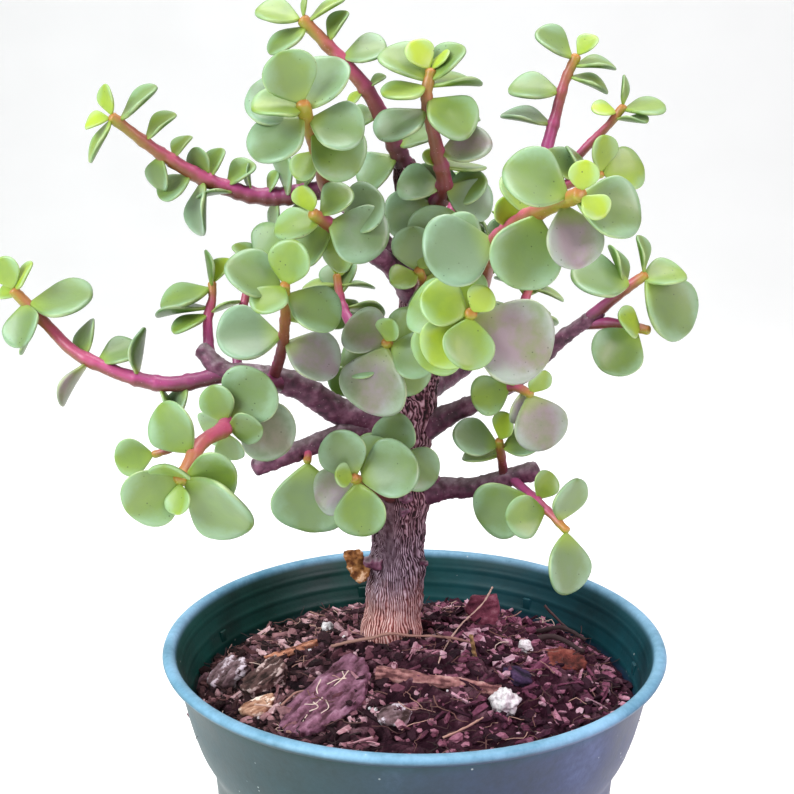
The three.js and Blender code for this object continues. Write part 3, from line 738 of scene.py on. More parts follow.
SHOOTS = {
    "far_left_shoot": {
        "path": [[-55, -2, 191], [-73, -6, 189], [-97, -4, 197], [-107, 0, 205], [-116, 0, 215]],
        "radii": [2.5, 1.4],
        "leaves": [
            [0, 108, 0, 10, 2], [0, 55, -10, 10, 2], [2, 160, 30, 8], [4, 278, -35, 14, 3],
            [5, 5, 0, 19, 1], [10, 238, 10, 13, 1], [29, 92, 35, 12, 1], [30, 235, -10, 15, 0.1],
            [32, 16, 20, 14, 2], [45, 78, 0, 15, 0.1], [51, 298, 15, 13], [60, 245, -10, 14, 0.8],
        ],
    },
    "left_upright_shoot": {
        "path": [[-60, 0, 196], [-61, 5, 206], [-60, 8, 212], [-60, 9, 216]],
        "radii": [1.7, 1.1],
        "leaves": [
            [0, 60, 20, 9], [1, 203, -10, 16, 1], [2, 100, 10, 12, 0], [7, 186, 0, 16, 0.6],
            [9, 205, -30, 12, 1], [9, 10, 10, 11],
        ],
    },
    "left_inner_shoot": {
        "path": [[-52, -1, 191], [-52, 6, 204], [-50, 10, 213], [-47, 11, 221]],
        "radii": [1.5, 1.1],
        "leaves": [
            [0, 58, 10, 14, 1], [0, 130, 10, 9], [4, 150, 20, 12], [9, 350, 20, 11], [13, 175, 10, 12],
        ],
    },
    "upper_left_shoot": {
        "path": [[-27, 20, 243], [-46, 20, 241], [-62, 18, 246], [-75, 14, 254], [-87, 8, 264]],
        "radii": [2.9, 1.5],
        "leaves": [
            [0, 100, 0, 9], [0, 192, 0, 8], [0, 243, -10, 14, 0.1], [2, 40, 0, 15, 0], [11, 42, 0, 12],
            [17, 262, 10, 11, 2], [21, 60, 20, 9], [28, 218, -10, 12, 1], [31, 268, -15, 17],
            [33, 116, 0, 10, 1], [33, 68, 10, 10, 1], [38, 40, 0, 11, 1], [42, 182, -20, 12],
            [46, 92, 0, 9], [51, 70, -10, 8], [54, 262, 0, 12, 1], [57, 90, -40, 15, 2],
            [63, 255, -10, 13, 1], [60, 60, 10, 11, 1],
        ],
    },
    "top_left_shoot": {
        "path": [[-3, 10, 250], [-9, 4, 263], [-14, 0, 272], [-24, 0, 283], [-31, 0, 290]],
        "radii": [2.6, 1.6],
        "leaves": [
            [0, 168, 0, 13, 1], [0, 85, 0, 8], [1, 33, 0, 12], [2, 216, -15, 13, 2], [9, 58, 0, 10, 1],
            [14, 12, -10, 13, 2], [25, 30, 0, 6], [25, 220, 0, 6], [34, 190, 10, 10],
            [47, 214, -10, 14, 1], [44, 20, -20, 13, 1], [50, 250, -30, 15, 1],
        ],
    },
    "front_top_left_shoot": {
        "path": [[-18, 12, 238], [-24, -15, 246], [-25, -25, 254], [-27, -32, 261], [-28, -38, 267]],
        "radii": [2.8, 1.6],
        "leaves": [
            [1, 112, -15, 14], [2, 178, -30, 13, 0], [3, 58, 15, 16], [4, 222, -20, 17], [6, 150, 10, 17],
            [5, 342, -10, 15], [9, 322, -10, 16], [16, 235, 0, 9],
        ],
    },
    "centre_top_shoot": {
        "path": [[0, 11, 232], [8, 0, 244], [6, -6, 255], [3, -10, 269], [4, -10, 276]],
        "radii": [2.8, 1.3],
        "leaves": [
            [0, 122, 0, 9, 2], [0, 50, 10, 7], [3, 138, 10, 15, 1], [3, 46, 0, 13, 1], [4, 8, 20, 15, 0.1],
            [4, 195, -25, 13, 1.5], [7, 322, -25, 16, 1], [10, 212, -20, 16, 1], [11, 358, 30, 15],
            [23, 14, -10, 15, 1.5], [27, 0, 40, 14], [27, 140, 0, 6], [33, 330, -10, 15, 1],
            [34, 175, 0, 13], [40, 205, -20, 16, 1], [44, 300, -25, 15, 1], [38, 20, -10, 14, 1],
            [46, 80, -10, 15, 1],
        ],
    },
    "top_right_shoot": {
        "path": [[38, 24, 246], [40, 28, 256], [42, 30, 263], [45, 30, 275], [48, 30, 282]],
        "radii": [2.2, 1.3],
        "leaves": [
            [0, 48, 0, 8, 1], [1, 145, 0, 14, 1], [3, 4, 0, 13], [6, 342, 0, 13], [11, 178, 10, 16, 1.5],
            [21, 166, 10, 16, 0.8],
        ],
    },
    "far_right_top_shoot": {
        "path": [[36, 21, 241], [43, 22, 247], [52, 20, 257], [57, 20, 262], [61, 20, 267]],
        "radii": [1.7, 1.1],
        "leaves": [[0, 92, 0, 9], [1, 6, 0, 13], [2, 165, -10, 8, 1], [4, 352, -30, 10]],
    },
    "right_small_shoot": {
        "path": [[33, 19, 238], [42, 14, 244], [54, 12, 248]],
        "radii": [1.7, 1.1],
        "leaves": [
            [0, 12, 15, 14, 0], [0, 90, -10, 11, 1], [4, 120, 10, 11], [8, 130, 10, 12, 1],
            [10, 170, 0, 10],
        ],
    },
    "right_front_shoot": {
        "path": [
            [3, 8, 203], [14, -12, 208], [17, -30, 221], [19, -45, 232], [25, -60, 240], [36, -78, 247],
        ],
        "radii": [3.4, 1.6],
        "leaves": [
            [0, 85, -20, 7, 2], [0, 320, -30, 7], [3, 158, 0, 16], [3, 345, 0, 16, 0.1], [6, 283, -10, 15],
            [15, 252, -15, 18], [20, 100, 40, 12], [29, 100, -20, 8], [36, 192, -20, 19],
            [34, 330, -15, 15, 1], [44, 150, 0, 14, 1],
        ],
    },
    "lime_front_shoot": {
        "path": [[2, 8, 198], [8, -16, 205], [11, -30, 210], [14, -48, 216]],
        "radii": [2.2, 1.4],
        "leaves": [
            [0, 60, -20, 8], [1, 158, -10, 13], [1, 265, -30, 14, 0], [3, 232, -20, 15], [5, 168, 20, 16],
            [5, 333, -5, 23], [9, 95, 5, 13], [14, 230, 0, 15], [16, 20, 10, 14],
        ],
    },
    "right_outer_shoot": {
        "path": [[50, -3, 208], [58, -7, 216], [64, -9, 221]],
        "radii": [1.9, 1.2],
        "leaves": [
            [0, 100, 0, 11, 0], [0, 308, 5, 21, 2], [2, 12, 0, 13, 0.2], [4, 172, -10, 18, 1],
            [6, 112, 20, 13, 0],
        ],
    },
    "right_lower_shoot": {
        "path": [[48, -1, 206], [57, -7, 207], [65, -12, 206]],
        "radii": [1.8, 1.2],
        "leaves": [[0, 318, -30, 10, 2], [2, 150, -40, 10, 2], [3, 228, -20, 16, 3], [12, 188, 15, 19, 1]],
    },
    "centre_left_shoot": {
        "path": [[-42, 1, 189], [-40, -6, 193], [-37, -16, 201], [-35, -24, 211], [-34, -32, 221]],
        "radii": [1.8, 1.2],
        "leaves": [
            [0, 222, -45, 11], [1, 78, -10, 13], [3, 155, -5, 17], [3, 330, -5, 16], [14, 30, 20, 12],
            [20, 182, -10, 18], [22, 335, -10, 17],
        ],
    },
    "inner_left_shoot": {
        "path": [[-18, -16, 232], [-23, -21, 236], [-27, -25, 239]],
        "radii": [2.3, 1.4],
        "leaves": [
            [0, 110, -20, 8], [2, 57, 0, 17], [4, 190, -10, 13, 0.1], [5, 340, -15, 17], [8, 225, 10, 13],
            [9, 275, 10, 12], [11, 40, -15, 15, 1], [12, 120, 10, 14],
        ],
    },
    "lower_left_shoot": {
        "path": [[-40, 0, 188], [-46, -16, 190], [-50, -38, 184], [-54, -50, 183], [-58, -60, 176]],
        "radii": [2.8, 1.6],
        "leaves": [
            [0, 270, -30, 8], [1, 110, -55, 11], [2, 213, -15, 16], [2, 3, -15, 14], [1, 326, -10, 21],
            [8, 125, 5, 15, 1], [24, 290, 10, 9], [26, 5, -20, 10, 0], [27, 110, 0, 11], [27, 200, 40, 10],
            [28, 52, -5, 17, 1], [38, 322, -10, 18, 1],
        ],
    },
    "lower_left_side_shoot": {
        "path": [[-54, -48, 183], [-60, -50, 182], [-66, -50, 180]],
        "radii": [1.2, 0.9],
        "leaves": [[0, 186, -10, 10]],
    },
    "bottom_centre_shoot": {
        "path": [[-6, 6, 151], [-12, -6, 158], [-17, -20, 165]],
        "radii": [2.2, 1.3],
        "leaves": [
            [0, 150, -40, 7], [2, 117, -5, 15], [2, 280, -15, 16], [3, 22, -10, 18], [4, 208, 10, 14],
            [7, 55, 20, 14],
        ],
    },
    "trunk_front_shoot": {
        "path": [[-5, 3, 165], [-6, -4, 167]],
        "radii": [1.2, 1],
        "leaves": [[0, 88, -20, 14, 1], [1, 335, -5, 14], [1, 170, -5, 12]],
    },
    "hanging_right_shoot": {
        "path": [[29, 5, 158], [33, -6, 157], [37, -14, 155], [43, -20, 150]],
        "radii": [1.5, 1.1],
        "leaves": [
            [0, 270, -20, 18], [3, 72, -10, 14], [8, 185, -25, 13, 1], [16, 207, 10, 18, 0.8],
            [13, 60, 20, 9],
        ],
    },
    "lower_right_shoot": {
        "path": [[27, 5, 158], [26, 2, 165], [25, -1, 171]],
        "radii": [1.5, 1.1],
        "leaves": [[0, 75, -10, 9], [2, 155, 10, 16, 1], [3, 18, -10, 13], [6, 175, 30, 12]],
    },
    "right_centre_shoot": {
        "path": [[24, 4, 184], [29, -4, 188], [33, -9, 187]],
        "radii": [1.6, 1.1],
        "leaves": [
            [0, 60, -20, 8], [1, 292, -10, 17, 1], [3, 262, 0, 10, 0], [5, 120, 10, 13], [8, 80, 10, 13],
            [8, 200, 0, 12],
        ],
    },
    "centre_low_shoot": {
        "path": [[-1, 9, 196], [-5, -8, 199], [-8, -16, 203]],
        "radii": [1.8, 1.2],
        "leaves": [
            [0, 80, -30, 8], [1, 252, -10, 20], [2, 345, -15, 15], [4, 150, 10, 14], [6, 60, 0, 13],
            [5, 200, 0, 15], [7, 300, 5, 14],
        ],
    },
    "centre_high_shoot": {
        "path": [[-1, 9, 214], [2, -2, 218], [1, -8, 222]],
        "radii": [1.8, 1.2],
        "leaves": [
            [0, 62, -5, 19], [1, 200, -30, 9], [3, 165, 15, 15], [4, 340, 0, 13], [2, 100, 10, 17],
            [5, 205, 5, 16], [6, 285, 5, 15], [5, 20, 20, 16],
        ],
    },
    "hanging_left_shoot": {
        "path": [[-32, -2, 169], [-31, -7, 168], [-31, -9, 167]],
        "radii": [1.3, 1.1],
        "leaves": [[0, 270, 5, 22]],
    },
    "back_left_shoot": {
        "path": [[-19, 41, 196], [-24, 49, 204], [-26, 53, 213]],
        "radii": [2, 1.2],
        "leaves": tuft(0),
    },
    "back_left_low_shoot": {
        "path": [[-11, 27, 186], [-15, 40, 183], [-15, 52, 186]],
        "radii": [1.6, 1.1],
        "leaves": tuft(20),
    },
    "back_right_shoot": {
        "path": [[27, 43, 195], [35, 50, 203], [39, 54, 212]],
        "radii": [2, 1.2],
        "leaves": tuft(-15),
    },
    "back_right_low_shoot": {
        "path": [[13, 29, 185], [13, 44, 186], [14, 56, 192]],
        "radii": [1.6, 1.1],
        "leaves": tuft(10),
    },
    "back_top_shoot": {
        "path": [[9, 41, 229], [12, 47, 237], [13, 49, 244]],
        "radii": [1.9, 1.2],
        "leaves": tuft(-25),
    },
    "back_side_shoot": {
        "path": [[6, 31, 221], [20, 38, 223], [30, 42, 229]],
        "radii": [1.7, 1.1],
        "leaves": tuft(35),
    },
}

print("limbs:", len(LIMBS), "shoots:", len(SHOOTS), "leaves:", sum(len(s["leaves"]) for s in SHOOTS.values()))

# %% [markdown]
# ## The trunk
#
# The trunk is nearly even from its foot up, and thins where the limbs leave it. Its bark has
# split into wavy upright ridges of lilac-grey over dark cracks. Low down the grey has flaked off in
# long plates, and the salmon-coloured layer under it shows.

# %% Bark of the trunk
def radius_along(rows):
    """The radius at a share of the way along rows of [x, y, z, radius]."""
    radii = [row[3] for row in rows]
    return lambda share: float(np.interp(share * (len(radii) - 1), range(len(radii)), radii))


def swell(share):
    """The trunk's uneven girth: faint bulges all the way up."""
    bulge = 0.3 * math.sin(share * 41) + 0.25 * math.sin(share * 97 + 1)
    return radius_along(TRUNK)(share) - 0.4 - 1.0 * math.exp(-share / 0.12) + bulge


RIDGES_AROUND = 30
trunk_line = Line(TRUNK)


def bark_height(point):
    """Ridges that run up the trunk, waver and meet, from 0 in a crack to 1 on a ridge."""
    middle = trunk_line.at(point.z - TRUNK[0][2])[0]
    around = math.atan2(point.y - middle.y, point.x - middle.x)
    arc = Vector((math.cos(around) * 9, math.sin(around) * 9, point.z))
    bend = noise.noise(stretched(arc, 0.3, 0.3, 0.15)) * 1.5
    waver = noise.noise(stretched(arc, 0.7, 0.7, 0.5) + Vector((5, 0, 0))) * 0.75
    ridge = 0.5 + 0.5 * math.cos(RIDGES_AROUND * around + (bend + waver) * 2 * math.pi)
    gap = noise.noise(stretched(arc, 1.1, 1.1, 0.45) + Vector((0, 9, 0)))
    low = max(0.0, min(1.0, (124 - point.z) / 12))
    plates = abs(noise.noise(stretched(arc, 0.35, 0.35, 0.09))) * 2.4
    split = ridge ** 0.7 * (1 - 0.55 * low) + min(1.0, plates) * 0.6 * low
    return max(0.0, min(1.0, split * 0.85 + gap * 0.2 + 0.1))


trunk = tube("trunk_wood", trunk_line, swell, 0.5, 108)
weather(trunk, lambda p: bark_height(p) - 0.5, 0.6)
print("trunk points:", len(trunk.data.vertices))

# %% [markdown]
# The broad ridges are in the mesh. The fine ones are less than a millimetre apart, and points so close
# would be too many, so the finish draws them: a sine of the angle around the trunk, made to waver by
# noise. The colours follow both, and change with the height from salmon through lilac to plum.

# %% Finish of the trunk
TRUNK_FOOT = (-7, 5.5)
FINE_RIDGES_AROUND = 58
bark = Finish("split_bark", Roughness=0.85, Specular_IOR_Level=0.3)
relief = bark.kept("relief")
east, north, place_up = bark.parts(bark.place())
around = bark.node("ShaderNodeMath", {"operation": "ARCTAN2"}, {0: north - TRUNK_FOOT[1] * MM,
                                                                   1: east - TRUNK_FOOT[0] * MM})
waver = bark.cloud(210, 2, 0.5, stretch=(1, 1, 0.4)) * 26 + bark.cloud(650, 2, 0.5, stretch=(1, 1, 0.5)) * 7
fine_ridge = bark.node("ShaderNodeMath", {"operation": "SINE"},
                       {0: around * FINE_RIDGES_AROUND + waver}) * 0.5 + 0.5
depth = fine_ridge * 0.55 + relief * 0.35 + bark.cloud(1100, 3) * 0.3 - 0.05
lilac = bark.ramp(depth, (0.1, "#26141b"), (0.35, "#694c59"), (0.6, "#ac8d9f"), (0.88, "#e0cadb"))
salmon = bark.ramp(depth, (0.08, "#5a2423"), (0.3, "#b56a63"), (0.52, "#e6a9a2"), (0.85, "#ffded8"))
plum = bark.ramp(depth, (0.1, "#200e13"), (0.35, "#573039"), (0.6, "#966b76"), (0.88, "#cba7b1"))
flaking = (place_up + bark.cloud(120, 3) * 0.016).step(0.137, 0.118)
young = (place_up + bark.cloud(90, 3) * 0.02).step(0.138, 0.160)
bark.give("Base Color", bark.mix(young, bark.mix(flaking, lilac, salmon), plum))
bark.bump(bark.cloud(1500, 4) * 0.3 + fine_ridge, 0.35, 0.9)
ready(trunk, bark, "trunk_bark", "trunk")

# %% [markdown]
# ## The limbs
#
# The limbs are younger, so their bark is still smooth and plum brown. Each has a swollen collar where
# it leaves the trunk and ring-shaped scars where old leaf pairs have dropped. Two of them were cut
# once and end in a blunt callus.

# %% Limbs
CUT_LIMBS = ("lower_right_limb", "pruned_limb", "left_limb")
SCAR_SPACING = 7.5


def limb_radius(rows, line):
    base = radius_along(rows)

    def radius(share):
        walked = share * line.length
        scar = math.exp(-((walked % SCAR_SPACING - SCAR_SPACING / 2) / 0.7) ** 2)
        collar = 1.5 * math.exp(-max(0.0, walked - 6) / 5)
        return base(share) + 0.28 * scar + collar

    return radius


def limb_height(point):
    bumps = noise.noise(point * 0.5) * 0.5 + noise.noise(point * 1.3) * 0.3
    return bumps + 0.35 * abs(noise.noise(stretched(point, 2.2, 2.2, 0.7)))


limb_skin = Finish("plum_bark", Roughness=0.55, Specular_IOR_Level=0.45)
walked = limb_skin.kept("share")
limb_relief = limb_skin.kept("relief")
mottle = limb_skin.cloud(260, 4)
rings = limb_skin.node("ShaderNodeTexWave", {"wave_type": "BANDS"},
                       {"Scale": 90, "Distortion": 3.0, "Detail": 2, "Vector": limb_skin.place()})
plum_tone = limb_skin.ramp(mottle + limb_relief * 0.3, (0.25, "#2a121c"), (0.5, "#5a2c44"),
                           (0.75, "#86556c"))
# Faces that look up are painted a lighter grey: painted light on the upper side of the plum bark.
painted_light_grey_tone = limb_skin.ramp(mottle + limb_relief * 0.3, (0.25, "#3a2b2d"), (0.5, "#6f5a60"),
                           (0.75, "#9d8b94"))
sunny = limb_skin.parts(limb_skin.node("ShaderNodeNewGeometry", output="Normal"))[2]
limb_colour = limb_skin.mix(sunny.step(0.2, 0.9), plum_tone, painted_light_grey_tone)
pale_dots = limb_skin.dots(700, 0.16)
limb_skin.give("Base Color", limb_skin.mix(pale_dots * 0.5, limb_colour, "#a98c92"))
limb_skin.bump(limb_skin.cloud(1200, 3) * 0.6 + rings * 0.3, 0.2, 0.5)

for name, rows in LIMBS.items():
    line = Line(rows)
    cut = name in CUT_LIMBS
    piece = tube(name.replace("_limb", "_branch"), line, limb_radius(rows, line), 0.7, 14,
                 round_tip=1.2 if cut else 0.6)
    weather(piece, limb_height, 0.5)
    keep_share(piece, line)
    ready(piece, limb_skin, "limb_bark", name)

# %% [markdown]
# ## The stems of the shoots
#
# A shoot's stem is soft and still coloured magenta-red, yellow-green at the growing tip. Its upper side
# is painted brighter magenta as painted light and its underside darker brown as painted shade. It is a
# little thicker at each pair of leaves. The stem and its leaves are two pieces, because they have
# different finishes.

# %% Finish of the stems
stem_skin = Finish("soft_stem", Roughness=0.38, Specular_IOR_Level=0.5, Subsurface_Weight=0.12,
                   Subsurface_Scale=0.002)
age = stem_skin.kept("share")
patchy = stem_skin.cloud(150, 3)
sun = stem_skin.parts(stem_skin.node("ShaderNodeNewGeometry", output="Normal"))[2]
bright = stem_skin.ramp(age + patchy * 0.3 - 0.15, (0.0, "#7a3f5f"), (0.35, "#b0487f"),
                        (0.75, "#b5506a"), (1.0, "#b07a35"))
shaded = stem_skin.ramp(age + patchy * 0.3 - 0.15, (0.0, "#4b2a2c"), (0.4, "#73352f"),
                        (0.8, "#8a5a2a"), (1.0, "#94912b"))
# The side that looks up is painted bright magenta as painted light, and the side that looks down is painted
# darker brown as painted shade.
stem_colour = stem_skin.mix((sun + patchy - 0.5).step(-0.5, 0.5), shaded, bright)
stem_dots = stem_skin.dots(900, 0.14)
stem_skin.give("Base Color", stem_skin.mix(stem_dots * 0.4, stem_colour, "#d79ab0"))
stem_skin.bump(stem_skin.cloud(900, 2), 0.1, 0.4)


# %% Stems
def stem_radius(shoot, line):
    foot, tip = shoot["radii"]
    joints = sorted({row[0] for row in shoot["leaves"]})

    def radius(share):
        back = line.length * (1 - share)
        knee = max([math.exp(-((back - joint) / 1.1) ** 2) for joint in joints] or [0])
        return (foot + (tip - foot) * share) * (1 + 0.16 * knee)

    return radius


def tree_of(piece):
    """A search tree that finds where another piece would run into this one."""
    corners = [vertex.co.copy() for vertex in piece.data.vertices]
    return BVHTree.FromPolygons(corners, [tuple(face.vertices) for face in piece.data.polygons])


stems = {}
for name, shoot in SHOOTS.items():
    line = Line(shoot["path"])
    piece = tube(name.replace("_shoot", "_stem"), line, stem_radius(shoot, line), 0.9, 6, round_tip=0.9)
    keep_share(piece, line)
    weather(piece, lambda p: noise.noise(p * 0.6), 0.18)
    stems[name] = (piece, line)
print("stems:", len(stems))


# %% [markdown]
# ## One leaf
#
# An elephant bush leaf is a thick round paddle on a short wedge, with an even thickness, a rounded
# rim and a slight hollow on its upper face. One leaf is modelled flat, one unit long: a filled circle
# is scaled row by row into a paddle, made thick by Solidify and rounded by Subdivision Surface. It is
# then copied, bent and sized for each place on the plant.

# %% Leaf pattern
LEAF_THICKNESS = 0.095
LEAF_WIDTHS = ((0.0, 0.26), (0.1, 0.48), (0.3, 0.84), (0.5, 1.0), (0.72, 1.1), (0.9, 1.18), (1.0, 1.1))


def leaf_pattern():
    """A paddle in the XZ plane with its foot at the origin and its tip at z = 1."""
    bpy.ops.object.select_all(action="DESELECT")
    bpy.ops.mesh.primitive_circle_add(
        vertices=20, radius=0.5, fill_type="NOTHING", location=(0, 0, 0.5), rotation=(math.pi / 2, 0, 0))
    leaf = bpy.context.object
    leaf.name = "leaf_pattern"
    bpy.ops.object.transform_apply(location=True, rotation=True, scale=True)
    bpy.ops.object.mode_set(mode="EDIT")
    bpy.ops.mesh.select_all(action="SELECT")
    bpy.ops.mesh.fill_grid(span=5)
    heights = sorted({round(vertex.co.z, 4) for vertex in leaf.data.vertices})
    for height in heights:
        choose(leaf, lambda v: round(v.co.z, 4) == height)
        wide = float(np.interp(height, *zip(*LEAF_WIDTHS)))
        bpy.ops.transform.resize(value=(wide, 1, 1), center_override=(0, 0, height))
    done(leaf)
    solid = leaf.modifiers.new("thick", "SOLIDIFY")
    solid.thickness = LEAF_THICKNESS
    solid.offset = 0
    smooth = leaf.modifiers.new("round", "SUBSURF")
    smooth.levels = 1
    smooth.render_levels = 1
    apply_modifiers(leaf)
    bpy.ops.object.mode_set(mode="EDIT")
    bpy.ops.mesh.select_all(action="SELECT")
    bpy.ops.mesh.normals_make_consistent(inside=False)
    done(leaf)
    bpy.ops.object.shade_smooth()
    return leaf


pattern = leaf_pattern()
PATTERN = points_of(pattern.data)
half_width = np.array([np.interp(z, *zip(*LEAF_WIDTHS)) for z in PATTERN[:, 2]])
rim = np.sqrt(np.clip(0.25 - (PATTERN[:, 2] - 0.5) ** 2, 0.0025, None))
ACROSS = np.clip(np.abs(PATTERN[:, 0]) / (rim * half_width), 0, 1)
SIDE = np.clip(0.5 + PATTERN[:, 1] / LEAF_THICKNESS, 0, 1)
print("faces in one leaf:", len(pattern.data.polygons), "width:", round(np.ptp(PATTERN[:, 0]), 2))

# %% [markdown]
# The face of a leaf looks towards the tip of its stem and turns a little to the light. Each leaf is
# cupped and bent by its own small amount. A leaf that would run into another one first leans another
# way, and stays smaller if that doesn't help.

# %% Place the leaves
LIGHT = Vector((-0.2, -0.75, 0.6))
TO_LIGHT = 0.4
TRIES = ((1, 0, 0), (1, 0, -12), (1, 0, 12), (0.9, 12, -12), (0.9, -12, 12),
         (0.8, 0, -25), (0.8, 0, 25), (0.65, 15, 0), (0.65, -15, 0), (0.5, 0, 0))
YOUNG = 6
GROWN = 17


def leaf_frame(line, back, clock, depth, to_light):
    """Where a leaf stands, and its width, face and length directions."""
    foot, stem_way = line.at(line.length - min(back, 0.98 * line.length))
    clock, depth = math.radians(clock), math.radians(depth)
    way = Vector((math.cos(depth) * math.cos(clock), math.sin(depth), math.cos(depth) * math.sin(clock)))
    face = stem_way + LIGHT * to_light
    face = (face - way * face.dot(way)).normalized()
    return foot, face.cross(way), face, way


def leaf_points(frame_of_leaf, length, stand, shape):
    """The points of one leaf in metres: cupped, bowed, twisted and never quite even."""
    foot, width, face, way = frame_of_leaf
    cup, bow, twist, lopsided = shape
    x, y, z = PATTERN[:, 0], PATTERN[:, 1], PATTERN[:, 2]
    plump = np.interp(z, (0, 0.12, 0.35, 1), (0.75, 0.85, 1, 0.95))
    y = y * plump + cup * (4 * x * x) - bow * (z - 0.2) ** 2 + twist * x * z
    x = x * (1 + 0.16 * lopsided * (z - 0.3)) + 0.05 * lopsided * z * z
    flat = np.c_[x, y, z] * length
    flat[:, 2] += stand
    axes = np.array([width, face, way])
    return (np.array(foot) + flat @ axes) * MM


def leaf_tree(points):
    return BVHTree.FromPolygons([Vector(p) for p in points], LEAF_FACES)


LEAF_FACES = [tuple(face.vertices) for face in pattern.data.polygons]
wood_trees = [tree_of(bpy.data.objects["trunk_wood"])]
wood_trees += [tree_of(bpy.data.objects[name.replace("_limb", "_branch")]) for name in LIMBS]
stem_trees = {name: tree_of(piece) for name, (piece, line) in stems.items()}
grown = []


def runs_into(points, own):
    """Whether a leaf would cut through wood, another shoot's stem or a leaf that is already there."""
    tree = leaf_tree(points)
    centre = Vector(points.mean(axis=0))
    size = float(np.linalg.norm(points - points.mean(axis=0), axis=1).max())
    others = wood_trees + [other for name, other in stem_trees.items() if name != own]
    if any(other.find_nearest(centre, size)[0] is not None and tree.overlap(other) for other in others):
        return True
    near = [other for where, reach, other, shoot in grown
            if (where - centre).length < size + reach and shoot != own]
    return any(tree.overlap(other) for other in near)


def remember(points, own):
    centre = Vector(points.mean(axis=0))
    size = float(np.linalg.norm(points - points.mean(axis=0), axis=1).max())
    grown.append((centre, size, leaf_tree(points), own))


# %% Finish of the leaves
leaf_skin = Finish("fleshy_leaf", Roughness=0.3, Specular_IOR_Level=0.6, Coat_Roughness=0.18,
                   Subsurface_Weight=0.12, Subsurface_Scale=0.003,
                   Subsurface_Radius=(0.7, 1.0, 0.25))
to_rim, from_foot, upper_side = leaf_skin.parts(leaf_skin.kept("leaf_place", "Color"))
maturity, shade, weathered = leaf_skin.parts(leaf_skin.kept("leaf_kind", "Color"))
blotch = leaf_skin.cloud(110, 5, 0.6)
tone = maturity + (blotch - 0.5) * 0.55 + (shade - 0.5) * 0.45
upper = leaf_skin.ramp(tone, (0.0, "#a2b62a"), (0.25, "#839c30"), (0.5, "#728c40"), (0.75, "#6c8450"),
                       (1.0, "#748a68"))
# Undersides are really a more saturated yellow-green. They are also painted darker than the upper faces:
# painted shade.
under = leaf_skin.ramp(tone, (0.0, "#7f9c16"), (0.35, "#4b6a10"), (1.0, "#42601f"))
skin = leaf_skin.mix(upper_side.step(0.35, 0.65), under, upper)
old = leaf_skin.ramp(blotch + (shade - 0.5) * 0.3, (0.3, "#6b6c52"), (0.5, "#857d6c"), (0.7, "#957d8a"))
skin = leaf_skin.mix((weathered + (blotch - 0.5) * 0.9).step(0.3, 0.95) * 0.85, skin, old)
foot_green = from_foot.step(0.4, 0.02) * 0.7
skin = leaf_skin.mix(foot_green, skin, "#94ad3c")
# The pale mint on the upper face towards the tip and rim is partly the leaf's bloom and partly a painted
# sheen of the light.
mint_bloom_and_sheen = (to_rim + from_foot * 0.6 + (blotch - 0.5)).step(0.7, 1.5) * upper_side
skin = leaf_skin.mix(mint_bloom_and_sheen * 0.5, skin, "#9fc4a6")
rim_line = to_rim.step(0.92, 0.995) * 0.5
skin = leaf_skin.mix(rim_line, skin, "#c6d296")
specks = leaf_skin.dots(520, 0.13) * leaf_skin.cloud(90, 2).step(0.45, 0.6)
skin = leaf_skin.mix(specks * 0.8, skin, "#36401f")
leaf_skin.give("Base Color", skin)
leaf_skin.give("Roughness", blotch * 0.4 + 0.24)
leaf_skin.give("Coat Weight", upper_side * 0.16)
leaf_skin.bump(leaf_skin.cloud(420, 4) * 0.6 + blotch * 0.6, 0.22, 0.6)

# %% [markdown]
# Young leaves near a growing tip are yellow-green, and grown ones are pale sage. A few shoots are
# younger or older than the rest as a whole, and single leaves have weathered to a purplish grey.

# %% Leaves
YOUTH = {"lime_front_shoot": 0.35, "right_front_shoot": 0.15, "centre_top_shoot": 0.1}
WEATHERED = {
    "far_left_shoot": (7,), "centre_left_shoot": (6,), "bottom_centre_shoot": (4,),
    "right_centre_shoot": (1, 2, 3), "centre_low_shoot": (1, 3), "right_front_shoot": (4,),
    "centre_top_shoot": (9,), "lower_left_shoot": (11,), "lime_front_shoot": (5,), "left_inner_shoot": (4,),
}
rng = random.Random(7)
for name, shoot in SHOOTS.items():
    stem, line = stems[name]
    stem_size = shoot["radii"][1]
    copies = []
    for i, (back, clock, depth, length, *turn) in enumerate(shoot["leaves"]):
        to_light = turn[0] if turn else TO_LIGHT
        shape = (rng.uniform(0.04, 0.17), rng.uniform(-0.06, 0.22), rng.uniform(-0.25, 0.25),
                 rng.uniform(-1, 1))
        shade_of_leaf = rng.random()
        for share, more_clock, more_depth in TRIES:
            place = leaf_frame(line, back, clock + more_clock, depth + more_depth, to_light)
            points = leaf_points(place, length * share, stem_size * 0.4, shape)
            if not runs_into(points, name):
                break
        else:
            continue
        remember(points, name)
        leaf = pattern.data.copy()
        leaf.vertices.foreach_set("co", points.ravel())
        keep_colour(leaf, "leaf_place", np.c_[ACROSS, np.clip(PATTERN[:, 2], 0, 1), SIDE])
        age = np.clip((length - YOUNG) / (GROWN - YOUNG), 0, 1) * 0.7 + min(back / 30, 1) * 0.3
        age = max(0.0, age - YOUTH.get(name, 0))
        grey = 0.85 if i in WEATHERED.get(name, ()) else rng.uniform(0, 0.45) * age
        keep_colour(leaf, "leaf_kind", np.tile([age, shade_of_leaf, grey], (len(PATTERN), 1)))
        copy = bpy.data.objects.new("leaf", leaf)
        bpy.context.scene.collection.objects.link(copy)
        copies.append(copy)
    leaves = joined(name.replace("_shoot", "_leaves"), copies)
    ready(leaves, leaf_skin, "leaf")
    ready(stem, stem_skin, "limb_bark", name)
bpy.data.objects.remove(pattern)
print("leaves grown:", len(grown))

